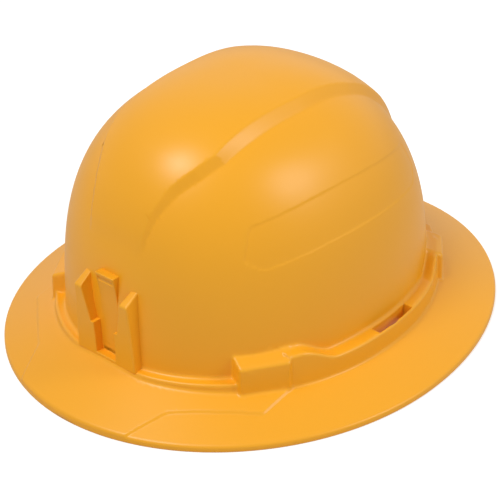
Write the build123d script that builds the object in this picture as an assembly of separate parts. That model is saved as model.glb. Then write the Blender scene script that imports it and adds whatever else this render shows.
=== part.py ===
from build123d import *
import math
import os

# Full brim hard hat with a four point suspension and a rack and pinion size adjuster.
# Millimetres, +Z up, the front faces -Y, the wearer's left is +X.
# The origin is at the bottom centre of the box, on the plane of the brim's edge.

# Fits and overruns
overrun = 2.0
part_gap = 0.3
soft_gap = 0.3
slide_gap = 0.25
shaft_gap = 0.05

# Shell, main sizes
hat_length = 335.7
brim_half_width = 140.5
brim_middle_y = -8.15
shell_wall = 2.5
brim_edge_height = 4.0
brim_wall = 2.4
brim_root_height = 22.0
brim_root_side = 90.5
brim_root_front = 120.3
brim_root_rear = 127.4
brim_front = hat_length / 2 + brim_middle_y
brim_rear = hat_length / 2 - brim_middle_y
brim_power = 2.0
dome_side = 97.0
dome_front = 118.5
dome_rear = 124.0
dome_middle_y = -9.5
dome_start_z = 22.0
dome_height = 140.5
plan_power = 2.15
side_arch_power = 2.48
front_arch_power = 3.18
rear_arch_power = 2.17
ring_points = 24
dome_rise_shares = (0, 0.2, 0.38, 0.54, 0.68, 0.79, 0.875, 0.935, 0.972, 0.992)

# Rib round the foot of the dome
rib_side_step = 10.0
rib_front_step = 7.1
rib_rear_step = 8.0
rib_front_y = -131.6
rib_front_top = 24.0
rib_side_top = 28.0
rib_shoulder_top = 34.4
rib_step_y = -84.0
rib_shoulder_y = -66.0
rib_wave_end_y = -45.0
rib_edge_radius = 1.6

# Raised bill in front and its arms along the rib
bill_rise = 1.0
bill_corner_x = 54.0
bill_corner_y = -132.4
bill_edge_x = 42.0
bill_arm_width = 13.0
bill_arm_end_y = -79.0

# Crown band, a raised strip from the forehead over the top
band_rise = 4.0
band_angles = (31, 38, 44, 50, 56, 62, 72, 90, 110, 130, 150, 166)
band_top_width_shares = (0.19, 0.209, 0.231, 0.275, 0.346, 0.397, 0.393, 0.402, 0.417, 0.417, 0.39, 0.35)
band_foot_width_shares = (0.198, 0.228, 0.262, 0.32, 0.392, 0.438, 0.454, 0.459, 0.464, 0.464, 0.433, 0.37)
band_rise_shares = (-0.2, 0.3, 0.6, 0.8, 0.95, 1, 1, 1, 1, 1, 0.7, -0.2)
band_core_share = 0.8

# Housings of the four suspension sockets
housing_width = 26.7
housing_depth = 8.6
housing_top = 34.4
housing_round = 2.0
front_socket_turn = -38.5
rear_socket_turn = 55.0
socket_width = 20.4
socket_depth = 3.7
socket_top = 31.2
socket_offset = 2.9

# Side accessory slots
side_slot_length = 34.0
side_slot_width = 4.9
side_slot_middle_y = 9.0
side_slot_wall = 2.6

# Front bracket, two notched rails round a ramped tongue
bracket_foot_half = 24.6
bracket_head_half = 20.6
bracket_foot_z = 16.0
bracket_peak_z = 73.2
bracket_front_y = -134.4
bracket_lip_z = 68.3
bracket_bevel = 2.6
pocket_floor_y = -128.2
pocket_foot_z = 25.1
pocket_step_z = 45.7
pocket_foot_half = 7.9
pocket_low_half = 10.2
pocket_mid_half = 13.2
pocket_head_half = 15.9
tongue_half = 7.4
tongue_foot_z = 44.0
tongue_top_z = 80.0
tongue_front_y = -131.6
tongue_catch_half = 5.9
tongue_catch_height = 3.0
tongue_catch_depth = 2.0
tongue_catch_drop = 2.6

# Headband, a U from one rear key round the front to the other
band_radius = 85.0
headband_wall = 1.8
headband_front_y = -27.0
headband_rear_y = 4.0
headband_foot_z = 9.0
headband_head_z = 33.0
headband_front_head_z = 33.4
headband_end_turn = 25.0
headband_rear_rise = 2.5
size_plane_z = 22.0

# Sweatband
sweat_wall = 3.6
sweat_foot_z = 7.5
sweat_head_z = 34.0
sweat_turn = 76.0

# Keys that hang the suspension in the sockets
key_width = 20.0
key_blade_wall = 3.2
key_blade_top = 30.4
key_foot_z = 8.0
key_foot_wall = 4.5
key_post_wall = 2.6
key_post_top = 33.6
key_bar_height = 4.0
key_bar_depth = 4.4
key_window_width = 13.0
key_window_height = 3.6
key_stud_radius = 3.0
key_stud_rise = 7.0

# Crown straps and pad
strap_width = 20.0
strap_wall = 1.4
strap_apex_z = 124.0
strap_cross_rise = 3.4
strap_power = 2.3
strap_points = 16
pad_half = 24.0
pad_corner = 9.0
pad_wall = 5.0
pad_drop = 5.0

# Nape straps, toothed tails that pass each other in two layers
nape_strap_wall = 1.3
nape_strap_height = 22.0
nape_layer_gap = 0.5
nape_inner_radius = 78.5
travel = 15.0
button_slot_height = 5.3
strap_end_length = 6.0
tail_height = 19.0
tail_slot_half_length = 22.5
tail_end_length = 4.0
tooth_module = 1.0
pinion_teeth = 10
rack_teeth = 13
pressure_angle = 20.0
tooth_backlash = 0.36
rack_tip = 0.85
rack_root = 1.1
pinion_tip = 0.85
pinion_root = 1.2
pitch_radius = tooth_module * pinion_teeth / 2

# Size adjuster, a casing and a cover round the two racks
adjuster_half_width = 27.0
adjuster_half_height = 17.0
adjuster_corner = 9.0
adjuster_cover_wall = 2.0
adjuster_casing_wall = 2.4
casing_inner = nape_inner_radius - slide_gap
cover_inner = casing_inner - adjuster_cover_wall
channel_outer = nape_inner_radius + 2 * nape_strap_wall + nape_layer_gap + slide_gap
casing_outer = channel_outer + adjuster_casing_wall
boss_radius = 12.0
boss_wall = 2.0
boss_height = 2.4
detent_teeth = 24
detent_depth = 0.8
spring_wall = 1.8
spring_hub_radius = 4.6
spring_arm_wall = 1.2
spring_tip_share = 1.12
shaft_flat = 5.0
shaft_length = 7.5
journal_radius = 2.5
journal_disc_radius = 6.5
screw_radius = 1.3
screw_head_radius = 2.5
screw_head_height = 1.4
screw_recess_radius = 0.9
screw_length = 6.5
screw_across = 17.0
screw_up = 14.0
screw_tip = 1.0
nape_pad_wall = 4.0
nape_pad_inset = 3.0

# Knob
knob_radius = 18.0
knob_length = 12.0
knob_round = 1.6
knob_flutes = 18
flute_radius = 2.2
flute_bite = 1.1
knob_dish_radius = 12.5
knob_dish_depth = 1.4
knob_skirt_wall = 2.4
knob_hollow_depth = 5.0
knob_hub_radius = 5.5

# Pivot buttons
button_radius = 2.5
button_head_radius = 5.0
button_head_wall = 1.4
button_collar_radius = 4.4


def mirrored(shape):
    """Return the shape on the wearer's right."""
    return mirror(shape, about=Plane.YZ)


def block(low, high):
    """Return a box from its lowest to its highest corner."""
    size = [b - a for a, b in zip(low, high)]
    middle = [(a + b) / 2 for a, b in zip(low, high)]
    return Pos(*middle) * Box(*size)


def oval_point(side, front, rear, turn, power, middle_y):
    """Return the plan point of an oval with its own reach in front and behind."""
    across = math.cos(turn)
    ahead = math.sin(turn)
    reach = rear if ahead > 0 else front
    x = side * math.copysign(abs(across) ** (2 / power), across)
    y = reach * math.copysign(abs(ahead) ** (2 / power), ahead)
    return x, middle_y + y


def oval(side, front, rear, z, power=plan_power, middle_y=dome_middle_y):
    """Return the flat face of an oval at the height z."""
    turns = [2 * math.pi * step / ring_points for step in range(ring_points)]
    points = [(*oval_point(side, front, rear, turn, power, middle_y), z) for turn in turns]
    return Face(Wire(Spline(*points, periodic=True)))


def arch_share(ahead, rise_share):
    """Return how far out the dome still reaches at a share of its rise."""
    end_power = front_arch_power if ahead < 0 else rear_arch_power
    power = side_arch_power + (end_power - side_arch_power) * ahead ** 2
    return (1 - rise_share ** power) ** (1 / power)


def dome_ring(inset, rise_share):
    """Return the level section of the dome, drawn in by the inset."""
    points = []
    for step in range(ring_points):
        turn = 2 * math.pi * step / ring_points
        share = arch_share(math.sin(turn), rise_share)
        x, y = oval_point(dome_side - inset, dome_front - inset, dome_rear - inset, turn, plan_power, 0)
        z = dome_start_z + (dome_height - inset) * rise_share
        points.append((x * share, dome_middle_y + y * share, z))
    return Face(Wire(Spline(*points, periodic=True)))


def dome(inset, foot_z):
    """Return the solid dome, drawn in by the inset, with upright sides down to foot_z."""
    rings = [dome_ring(inset, share) for share in dome_rise_shares]
    apex = Vertex(0, dome_middle_y, dome_start_z + dome_height - inset)
    upper = loft(rings + [apex])
    lower = extrude(rings[0], amount=dome_start_z - foot_z, dir=(0, 0, -1))
    return upper + lower


def dome_radius(x, angle):
    """Return the dome's distance from its low middle line, at x and an angle up from the front."""
    ahead = -math.cos(math.radians(angle))
    up = math.sin(math.radians(angle))
    low = 0.0
    high = 2 * dome_rear
    for _ in range(40):
        middle = (low + high) / 2
        y = middle * ahead
        rise_share = middle * up / dome_height
        reach = dome_rear if y > 0 else dome_front
        outward = (abs(x / dome_side) ** plan_power + abs(y / reach) ** plan_power) ** (1 / plan_power)
        turn_share = abs(y / reach) / math.hypot(x / dome_side, y / reach)
        ahead_sign = math.copysign(turn_share, y)
        inside = rise_share < 1 and outward < arch_share(ahead_sign, rise_share)
        low = middle if inside else low
        high = high if inside else middle
    return low


def crown_band():
    """Return the raised band as a loft through a fan of sections about the dome's low middle."""
    sections = []
    rows = zip(band_angles, band_top_width_shares, band_foot_width_shares, band_rise_shares)
    for angle, top_share, foot_share, rise_share in rows:
        top_half = top_share * dome_side
        foot_half = foot_share * dome_side
        rise = band_rise * rise_share
        plane = Plane(
            origin=(0, dome_middle_y, dome_start_z),
            x_dir=(1, 0, 0),
            z_dir=(0, -math.sin(math.radians(angle)), -math.cos(math.radians(angle))),
        )
        foot = dome_radius(foot_half, angle)
        edge = dome_radius(top_half, angle) + rise
        half = dome_radius(top_half / 2, angle) + rise
        middle = dome_radius(0, angle) + rise
        core = foot * band_core_share
        sunk_half = foot_half + (foot_half - top_half)
        sunk = foot - (edge - foot)
        top = Spline((-top_half, edge), (-top_half / 2, half), (0, middle), (top_half / 2, half), (top_half, edge))
        sides = Polyline((top_half, edge), (sunk_half, sunk), (sunk_half, core), (-sunk_half, core),
                         (-sunk_half, sunk), (-top_half, edge))
        sections.append(plane * Face(Wire([*top.edges(), *sides.edges()])))
    return loft(sections)


def rib_profile(drop):
    """Return the side view that the rib's top follows, lowered by the drop, as a solid across the hat."""
    low = -overrun
    outline = Polyline(
        (rib_front_y, low),
        (rib_front_y, rib_front_top - drop),
        (rib_step_y, rib_front_top - drop),
        (rib_step_y, rib_shoulder_top - drop),
        (rib_shoulder_y, rib_shoulder_top - drop),
    )
    wave = Bezier(
        (rib_shoulder_y, rib_shoulder_top - drop),
        (rib_shoulder_y * 0.85 + rib_wave_end_y * 0.15, rib_shoulder_top - drop),
        (rib_shoulder_y * 0.5 + rib_wave_end_y * 0.5, rib_side_top - drop),
        (rib_wave_end_y, rib_side_top - drop),
    )
    back = Polyline(
        (rib_wave_end_y, rib_side_top - drop),
        (brim_rear, rib_side_top - drop),
        (brim_rear, low),
        (rib_front_y, low),
    )
    face = Face(Wire([*outline.edges(), *wave.edges(), *back.edges()]))
    return extrude(Plane.YZ * face, amount=brim_half_width, both=True)


def rib(inset):
    """Return the rib as a solid, drawn in and lowered by the inset."""
    side = dome_side + rib_side_step - inset
    front = dome_front + rib_front_step - inset
    rear = dome_rear + rib_rear_step - inset
    plan = extrude(oval(side, front, rear, -overrun), amount=rib_shoulder_top + 2 * overrun, dir=(0, 0, 1))
    chord = block((-brim_half_width, rib_front_y + inset, -overrun), (brim_half_width, brim_rear, rib_shoulder_top))
    return plan & rib_profile(inset) & chord


def brim(lift):
    """Return the brim's solid cone, with its top face raised by the lift."""
    edge = oval(brim_half_width, brim_front, brim_rear, brim_edge_height + lift, brim_power, brim_middle_y)
    root = oval(brim_root_side, brim_root_front, brim_root_rear, brim_root_height + lift)
    cone = loft([edge, root], ruled=True)
    return cone + extrude(edge, amount=brim_edge_height + lift, dir=(0, 0, -1))


def brim_hollow():
    """Return the space under the brim, inside its edge lip."""
    inner = brim_edge_height - brim_wall
    edge = oval(brim_half_width - brim_wall, brim_front - brim_wall, brim_rear - brim_wall, inner,
                brim_power, brim_middle_y)
    root = oval(brim_root_side - brim_wall, brim_root_front - brim_wall, brim_root_rear - brim_wall,
                brim_root_height - brim_wall)
    cone = loft([edge, root], ruled=True)
    return cone + extrude(edge, amount=inner + overrun, dir=(0, 0, -1))


def bill():
    """Return the raised bill in front with its two arms beside the rib."""
    arms_side = dome_side + rib_side_step + bill_arm_width
    arms_front = dome_front + rib_front_step + bill_arm_width
    inside_side = dome_side + rib_side_step - shell_wall / 2
    inside_front = dome_front + rib_front_step - shell_wall / 2
    top = brim_root_height
    arms = extrude(oval(arms_side, arms_front, arms_front, 0), amount=top, dir=(0, 0, 1))
    arms = arms & block((-brim_half_width, -brim_front, 0), (brim_half_width, bill_arm_end_y, top))
    outline = Polyline((bill_edge_x, -hat_length / 2), (bill_corner_x, bill_corner_y),
                       (-bill_corner_x, bill_corner_y), (-bill_edge_x, -hat_length / 2), close=True)
    centre = extrude(Face(Wire(outline.edges())), amount=top, dir=(0, 0, 1))
    inside = extrude(oval(inside_side, inside_front, inside_front, 0), amount=top, dir=(0, 0, 1))
    inside = inside & block((-brim_half_width, rib_front_y + shell_wall / 2, 0), (brim_half_width, brim_rear, top))
    return (arms + centre - inside) & brim(bill_rise)


def socket_plane(turn):
    """Return the plane of a socket: X along the wall, Y outward, its origin on the dome's wall."""
    angle = math.radians(turn)
    x, y = oval_point(dome_side, dome_front, dome_rear, angle, plan_power, dome_middle_y)
    reach = dome_rear if turn > 0 else dome_front
    slope_x = math.copysign(abs(x / dome_side) ** (plan_power - 1), x) / dome_side
    slope_y = math.copysign(abs((y - dome_middle_y) / reach) ** (plan_power - 1), y) / reach
    size = math.hypot(slope_x, slope_y)
    outward = (slope_x / size, slope_y / size)
    return Plane(origin=(x, y, 0), x_dir=(outward[1], -outward[0], 0), z_dir=(0, 0, 1))


def socket_housing(plane):
    """Return the outer block of one socket."""
    outer = block((-housing_width / 2, -housing_depth, 0), (housing_width / 2, housing_depth, housing_top))
    edges = outer.edges().filter_by(Axis.Z).sort_by(Axis.Y)[-2:]
    top = outer.faces().sort_by(Axis.Z)[-1].edges()
    rounded = fillet(edges + top, housing_round)
    return plane.location * rounded


def socket_core(plane):
    """Return the block that stays solid inside the rib round one socket."""
    half = housing_width / 2
    return plane.location * block((-half, -shell_wall, 0), (half, housing_depth, housing_top))


def socket_hole(plane):
    """Return the pocket that one key slides up into."""
    half = socket_width / 2
    low = socket_offset - socket_depth / 2
    return plane.location * block((-half, low, -overrun), (half, low + socket_depth, socket_top))


def side_slot(grow, foot_z):
    """Return the accessory slot's space on the wearer's left, grown all round in plan."""
    low_x = dome_side + part_gap - grow
    high_x = dome_side + part_gap + side_slot_width + grow
    low_y = side_slot_middle_y - side_slot_length / 2 - grow
    high_y = side_slot_middle_y + side_slot_length / 2 + grow
    return block((low_x, low_y, foot_z), (high_x, high_y, rib_side_top + overrun))


def bracket():
    """Return the front bracket's rails and tongue as one solid."""
    rear_y = dome_middle_y - dome_front + 2 * bracket_bevel + shell_wall
    outline = Polyline((-bracket_foot_half, bracket_foot_z), (bracket_foot_half, bracket_foot_z),
                       (bracket_head_half, bracket_peak_z), (-bracket_head_half, bracket_peak_z), close=True)
    body = extrude(Plane.XZ * Face(Wire(outline.edges())), amount=-bracket_front_y)
    body = body & block((-bracket_foot_half, bracket_front_y, 0), (bracket_foot_half, rear_y, bracket_peak_z))
    slope = Polyline((bracket_front_y - overrun, bracket_lip_z), (pocket_floor_y + overrun, bracket_peak_z),
                     (pocket_floor_y + overrun, bracket_peak_z + overrun),
                     (bracket_front_y - overrun, bracket_peak_z + overrun), close=True)
    body = body - extrude(Plane.YZ * Face(Wire(slope.edges())), amount=bracket_foot_half, both=True)
    front = body.faces().sort_by(Axis.Y)[0]
    uprights = front.edges().filter_by(lambda edge: abs((edge @ 0).Z - (edge @ 1).Z) > bracket_bevel)
    body = chamfer(uprights, bracket_bevel)
    pocket_outline = Polyline(
        (-pocket_foot_half, pocket_foot_z), (pocket_foot_half, pocket_foot_z), (pocket_low_half, pocket_step_z),
        (pocket_mid_half, pocket_step_z), (pocket_head_half, bracket_peak_z + overrun),
        (-pocket_head_half, bracket_peak_z + overrun), (-pocket_mid_half, pocket_step_z),
        (-pocket_low_half, pocket_step_z), close=True)
    pocket = extrude(Plane.XZ * Face(Wire(pocket_outline.edges())), amount=-bracket_front_y + overrun)
    pocket = pocket & block((-bracket_foot_half, bracket_front_y - overrun, 0),
                            (bracket_foot_half, pocket_floor_y, bracket_peak_z + overrun))
    wedge = Polyline((pocket_floor_y, tongue_foot_z), (tongue_front_y, tongue_top_z), (rear_y, tongue_top_z),
                     (rear_y, tongue_foot_z), close=True)
    tongue = extrude(Plane.YZ * Face(Wire(wedge.edges())), amount=tongue_half, both=True)
    catch_top = tongue_top_z - tongue_catch_drop
    catch = block((-tongue_catch_half, tongue_front_y - overrun, catch_top - tongue_catch_height),
                  (tongue_catch_half, tongue_front_y + tongue_catch_depth, catch_top))
    return (body - pocket) + (tongue - catch)


def shell():
    """Return the moulded shell as one solid."""
    planes = [socket_plane(turn) for turn in (front_socket_turn, rear_socket_turn)]
    under_brim = brim_hollow()
    inside = dome(shell_wall, -overrun)
    result = brim(0) + dome(0, 0) + rib(0) - under_brim
    result = result + crown_band() - inside
    cores = [socket_core(plane) for plane in planes] + [side_slot(side_slot_wall, 0)]
    hollow = rib(shell_wall) - (cores + [mirrored(core) for core in cores])
    result = result - hollow
    housings = [socket_housing(plane) - [under_brim, inside] for plane in planes]
    features = housings + [mirrored(housing) for housing in housings]
    features = features + [bracket() - [under_brim, inside], bill() - under_brim]
    result = result + features
    holes = [socket_hole(plane) for plane in planes] + [side_slot(0, -overrun)]
    return result - (holes + [mirrored(hole) for hole in holes])


def arc_strip(inner, outer, foot_z, head_z, middle_y, start, end):
    """Return a curved strip about an upright line; angles run from the rear towards the wearer's left."""
    def at(radius, angle):
        turn = math.radians(angle)
        return radius * math.sin(turn), middle_y + radius * math.cos(turn)

    middle = (start + end) / 2
    outside = ThreePointArc(at(outer, start), at(outer, middle), at(outer, end))
    inside = ThreePointArc(at(inner, end), at(inner, middle), at(inner, start))
    lines = [Line(at(outer, end), at(inner, end)), Line(at(inner, start), at(outer, start))]
    face = Face(Wire([*outside.edges(), *lines[0].edges(), *inside.edges(), *lines[1].edges()]))
    return Pos(0, 0, foot_z) * extrude(face, amount=head_z - foot_z, dir=(0, 0, 1))


def side_view(points, half_width):
    """Return a solid across the hat whose side view is the outline of Y and Z points."""
    face = Face(Wire(Polyline(*points, close=True).edges()))
    return extrude(Plane.YZ * face, amount=half_width, both=True)


def pin(radius, start, end, x=0, z=size_plane_z):
    """Return a round pin along Y from start to end."""
    return Pos(x, (start + end) / 2, z) * Rot(90, 0, 0) * Cylinder(radius, end - start)


def from_middle(radius):
    """Return the Y place of a radius measured straight back from the rear arcs' middle."""
    return headband_rear_y + radius


def band_distance(plane, middle_y):
    """Return how far inward from a socket's wall the headband's outside lies, and how far a key stops short."""
    outward = plane.y_dir
    across = plane.origin.X
    along = plane.origin.Y - middle_y
    radius = band_radius + headband_wall
    half = across * outward.X + along * outward.Y
    distance = half - math.sqrt(half ** 2 - (across ** 2 + along ** 2 - radius ** 2))
    at_band = ((across - outward.X * distance) / radius, (along - outward.Y * distance) / radius)
    skew = abs(at_band[0] * outward.Y - at_band[1] * outward.X)
    return distance, distance - skew * key_width / 2 - part_gap


def key_stud(plane, middle_y, gap):
    """Return the stud that holds the headband on a key, with the gap all round."""
    distance, reach = band_distance(plane, middle_y)
    length = distance + headband_wall - reach + 2 * gap
    stud = Rot(90, 0, 0) * Cylinder(key_stud_radius + gap, length)
    return plane.location * Pos(0, -reach - length / 2 + gap, headband_foot_z + key_stud_rise) * stud


def key(plane, middle_y):
    """Return the key that hangs the headband and one crown strap from a socket."""
    reach = band_distance(plane, middle_y)[1]
    half = key_width / 2
    blade_low = socket_offset - key_blade_wall / 2
    blade_high = socket_offset + key_blade_wall / 2
    blade = block((-half, blade_low, key_foot_z), (half, blade_high, key_blade_top))
    blade = chamfer(blade.faces().sort_by(Axis.Z)[-1].edges(), key_blade_wall / 4)
    foot = block((-half, -reach, key_foot_z), (half, blade_high, key_foot_z + key_foot_wall))
    post = block((-half, -reach, key_foot_z), (half, -reach + key_post_wall, key_post_top))
    bar = block((-half, -reach, key_post_top - key_bar_height), (half, -reach + key_bar_depth, key_post_top))
    bar = fillet(bar.edges().filter_by(Axis.X), key_bar_height / 4)
    window_top = key_post_top - key_bar_height
    window = block((-key_window_width / 2, -reach - overrun, window_top - key_window_height),
                   (key_window_width / 2, -reach + key_bar_depth + overrun, window_top))
    return plane.location * (blade + foot + post + bar - window) + key_stud(plane, middle_y, 0)


def strap_end(plane, middle_y):
    """Return the plan place over a key's post where its crown strap stands."""
    reach = band_distance(plane, middle_y)[1]
    place = plane.location * Pos(0, -reach + key_post_wall / 2, 0)
    return place.position.X, place.position.Y


def crown_strap(rise):
    """Return the strap from the front left key over the head to the rear right one."""
    front = strap_end(socket_plane(front_socket_turn), headband_front_y)
    rear = strap_end(socket_plane(rear_socket_turn), headband_rear_y)
    span_x = front[0] + rear[0]
    span_y = front[1] - rear[1]
    half = math.hypot(span_x, span_y) / 2
    foot_z = key_post_top + soft_gap
    plane = Plane(
        origin=((front[0] - rear[0]) / 2, (front[1] + rear[1]) / 2, foot_z),
        x_dir=(span_x, span_y, 0),
        z_dir=(span_y, -span_x, 0),
    )

    def arch(reach, height):
        turns = [math.pi * step / strap_points for step in range(strap_points + 1)]
        points = [oval_point(reach, height, height, turn, strap_power, 0) for turn in turns]
        return Spline(*points, tangents=[(0, 1), (0, -1)])

    height = strap_apex_z + rise - foot_z
    outer = arch(half + strap_wall / 2, height + strap_wall)
    inner = arch(half - strap_wall / 2, height)
    feet = [Line((side * (half + strap_wall / 2), 0), (side * (half - strap_wall / 2), 0)) for side in (1, -1)]
    face = Face(Wire([*outer.edges(), *feet[0].edges(), *inner.edges(), *feet[1].edges()]))
    return extrude(plane * face, amount=strap_width / 2, both=True)


def crown_pad():
    """Return the crowned pad under the crossing of the crown straps."""
    top = strap_apex_z - soft_gap
    rim = pad_half * math.sqrt(2)
    middle_y = (strap_end(socket_plane(front_socket_turn), headband_front_y)[1]
                + strap_end(socket_plane(rear_socket_turn), headband_rear_y)[1]) / 2
    upper_radius = (rim ** 2 + pad_drop ** 2) / (2 * pad_drop)
    middle_z = top - upper_radius
    lens = Pos(0, 0, middle_z) * Sphere(upper_radius) - Pos(0, 0, middle_z) * Sphere(upper_radius - pad_wall)
    square = extrude(RectangleRounded(2 * pad_half, 2 * pad_half, pad_corner), amount=pad_drop + 2 * pad_wall,
                     both=True)
    return Pos(0, middle_y, 0) * (Pos(0, 0, top) * square & lens)


def headband(planes):
    """Return the U shaped headband with its stud and button holes."""
    outer = band_radius + headband_wall
    low = 0
    high = headband_front_head_z
    front = arc_strip(band_radius, outer, low, high, headband_front_y, 90, 270)
    side = block((band_radius, headband_front_y, low), (outer, headband_rear_y, high))
    back = arc_strip(band_radius, outer, low, high, headband_rear_y, headband_end_turn, 90)
    band = front + side + back + mirrored(side) + mirrored(back)
    front_y = headband_front_y - outer
    rear_y = headband_rear_y + outer
    foot_rise = headband_foot_z + headband_rear_rise
    profile = side_view(
        [(front_y - overrun, headband_foot_z), (headband_front_y, headband_foot_z), (rear_y, foot_rise),
         (rear_y, headband_head_z), (headband_rear_y, headband_head_z), (headband_front_y, high),
         (front_y - overrun, high)],
        outer + overrun,
    )
    band = band & profile
    for plane, middle_y in planes:
        hole = key_stud(plane, middle_y, slide_gap)
        band = band - hole - mirrored(hole)
    bore = Pos(0, headband_rear_y, size_plane_z) * Rot(0, 90, 0) * Cylinder(button_radius + shaft_gap, 2 * outer)
    return band - bore


def sweatband():
    """Return the sweatband inside the front of the headband."""
    outer = band_radius - soft_gap
    return arc_strip(outer - sweat_wall, outer, sweat_foot_z, sweat_head_z, headband_front_y,
                     180 - sweat_turn, 180 + sweat_turn)


def pivot_button(layer_outer):
    """Return the left pivot button: heads inside and outside, a collar between headband and strap."""
    def disc(radius, start, end):
        place = Pos((start + end) / 2, headband_rear_y, size_plane_z)
        return place * Rot(0, 90, 0) * Cylinder(radius, end - start)

    outer = band_radius + headband_wall
    strap_in = layer_outer - nape_strap_wall
    head_out = disc(button_head_radius, outer, outer + button_head_wall)
    head_out = fillet(head_out.faces().sort_by(Axis.X)[-1].edges(), button_head_wall / 2)
    collar = disc(button_collar_radius, layer_outer + slide_gap, band_radius - slide_gap)
    head_in = disc(button_head_radius, strap_in - slide_gap - button_head_wall, strap_in - slide_gap)
    head_in = fillet(head_in.faces().sort_by(Axis.X)[0].edges(), button_head_wall / 2)
    shank = disc(button_radius, strap_in - slide_gap, outer)
    return head_out + collar + head_in + shank


def layer_radius(layer):
    """Return the inner radius of a nape strap's layer, 0 inside and 1 outside."""
    return nape_inner_radius + layer * (nape_strap_wall + nape_layer_gap)


def rack_tooth(radius, angle, up):
    """Return one rack tooth on the inner layer side of a tail slot; up is 1 or -1."""
    pitch_half = math.pi * tooth_module / 4 - tooth_backlash / 2
    slope = math.tan(math.radians(pressure_angle))
    base = -rack_root
    tip = rack_tip
    outline = [(-pitch_half + base * slope, base), (pitch_half - base * slope, base),
               (pitch_half - tip * slope, tip), (-pitch_half + tip * slope, tip)]
    pitch_z = size_plane_z - up * pitch_radius
    points = [(x, up * z) for x, z in outline]
    face = Face(Wire(Polyline(*points, close=True).edges()))
    prism = extrude(Plane.XZ * face, amount=nape_strap_wall, dir=(0, -1, 0))
    tooth = Pos(0, radius + nape_strap_wall, pitch_z) * prism
    return Pos(0, headband_rear_y, 0) * Rot(0, 0, angle) * tooth


def nape_strap(layer, up):
    """Return the left nape strap with its button slot and its toothed tail; up is the rack teeth's direction."""
    inner = layer_radius(layer)
    outer = inner + nape_strap_wall
    degrees = math.degrees(1 / ((inner + outer) / 2))
    half = nape_strap_height / 2
    tail_half = tail_height / 2
    slot_turn = (travel + button_slot_height / 2) * degrees
    front_turn = 90 + slot_turn + strap_end_length * degrees
    tail_turn = -(tail_slot_half_length + tail_end_length) * degrees
    neck_turn = tail_slot_half_length * degrees
    body = arc_strip(inner, outer, size_plane_z - half, size_plane_z + half, headband_rear_y, neck_turn, front_turn)
    tail = arc_strip(inner, outer, size_plane_z - tail_half, size_plane_z + tail_half, headband_rear_y,
                     tail_turn, neck_turn + tail_end_length * degrees)
    slot_half = button_slot_height / 2
    button_slot = arc_strip(inner - overrun, outer + overrun, size_plane_z - slot_half, size_plane_z + slot_half,
                            headband_rear_y, 90 - slot_turn, 90 + slot_turn)
    near = pitch_radius + rack_root
    far = pitch_radius + tooth_module + rack_tip
    foot_z = size_plane_z - (near if up > 0 else far)
    head_z = size_plane_z + (far if up > 0 else near)
    tail_slot = arc_strip(inner - overrun, outer + overrun, foot_z, head_z, headband_rear_y,
                          -neck_turn, neck_turn)
    strap = body + tail - button_slot - tail_slot
    pitch_turn = math.pi * tooth_module * degrees
    for step in range(rack_teeth):
        strap = strap + rack_tooth(inner, (step - (rack_teeth - 1) / 2) * pitch_turn, up)
    return strap


def adjuster_plate(inner, outer, inset=0):
    """Return a curved plate of the adjuster with rounded corners, drawn in by the inset."""
    half_width = adjuster_half_width - inset
    half_height = adjuster_half_height - inset
    sheet = arc_strip(inner, outer, size_plane_z - half_height, size_plane_z + half_height, headband_rear_y,
                      -headband_end_turn, headband_end_turn)
    outline = RectangleRounded(2 * half_width, 2 * half_height, adjuster_corner - inset)
    prism = Pos(0, 0, size_plane_z) * extrude(Plane.XZ * outline, amount=-brim_rear)
    return sheet & prism


def adjuster_screws(gap):
    """Return the four cover screws, grown by the gap."""
    start = from_middle(cover_inner)
    screws = []
    for x in (-screw_across, screw_across):
        near = abs(x) - screw_head_radius
        sagged = start - (cover_inner - math.sqrt(cover_inner ** 2 - near ** 2))
        for up in (-screw_up, screw_up):
            z = size_plane_z + up
            head = pin(screw_head_radius + gap, sagged, sagged + screw_head_height, x, z)
            shank = pin(screw_radius + gap, sagged + screw_head_height, sagged + screw_length, x, z)
            recess = Pos(x, sagged, z) * Rot(90, 0, 0) * extrude(
                RegularPolygon(screw_recess_radius, 6), amount=screw_head_height / 2, both=True)
            screws.append(head + shank - recess if gap == 0 else head + shank)
    return screws


def ratchet_housing():
    """Return the adjuster's outer casing with the strap channel, the shaft bore and the detent boss."""
    casing = adjuster_plate(casing_inner, casing_outer)
    half = nape_strap_height / 2 + slide_gap
    channel = arc_strip(casing_inner - overrun, channel_outer, size_plane_z - half, size_plane_z + half,
                        headband_rear_y, -headband_end_turn, headband_end_turn)
    boss_end = from_middle(casing_outer) + boss_height
    boss = pin(boss_radius, from_middle(channel_outer), boss_end)
    well = pin(boss_radius - boss_wall, from_middle(casing_outer), boss_end + overrun)
    casing = casing + boss - well - channel
    casing = casing - pin(journal_disc_radius + shaft_gap, from_middle(casing_inner), boss_end)
    for step in range(detent_teeth):
        turn = math.radians(360 / detent_teeth * step)
        reach = boss_radius - boss_wall
        notch = pin(detent_depth, from_middle(casing_outer), boss_end + overrun,
                    reach * math.cos(turn), size_plane_z + reach * math.sin(turn))
        casing = casing - notch
    for screw in adjuster_screws(shaft_gap):
        casing = casing - screw
    return casing


def ratchet_cover():
    """Return the adjuster's inner cover plate."""
    cover = adjuster_plate(cover_inner, casing_inner)
    cover = cover - pin(journal_radius + shaft_gap, from_middle(cover_inner) - overrun,
                        from_middle(casing_inner) + overrun)
    for screw in adjuster_screws(shaft_gap):
        cover = cover - screw
    return cover


def nape_pad():
    """Return the soft pad on the inside of the adjuster."""
    outer = cover_inner - soft_gap
    return adjuster_plate(outer - nape_pad_wall, outer, nape_pad_inset)


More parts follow.
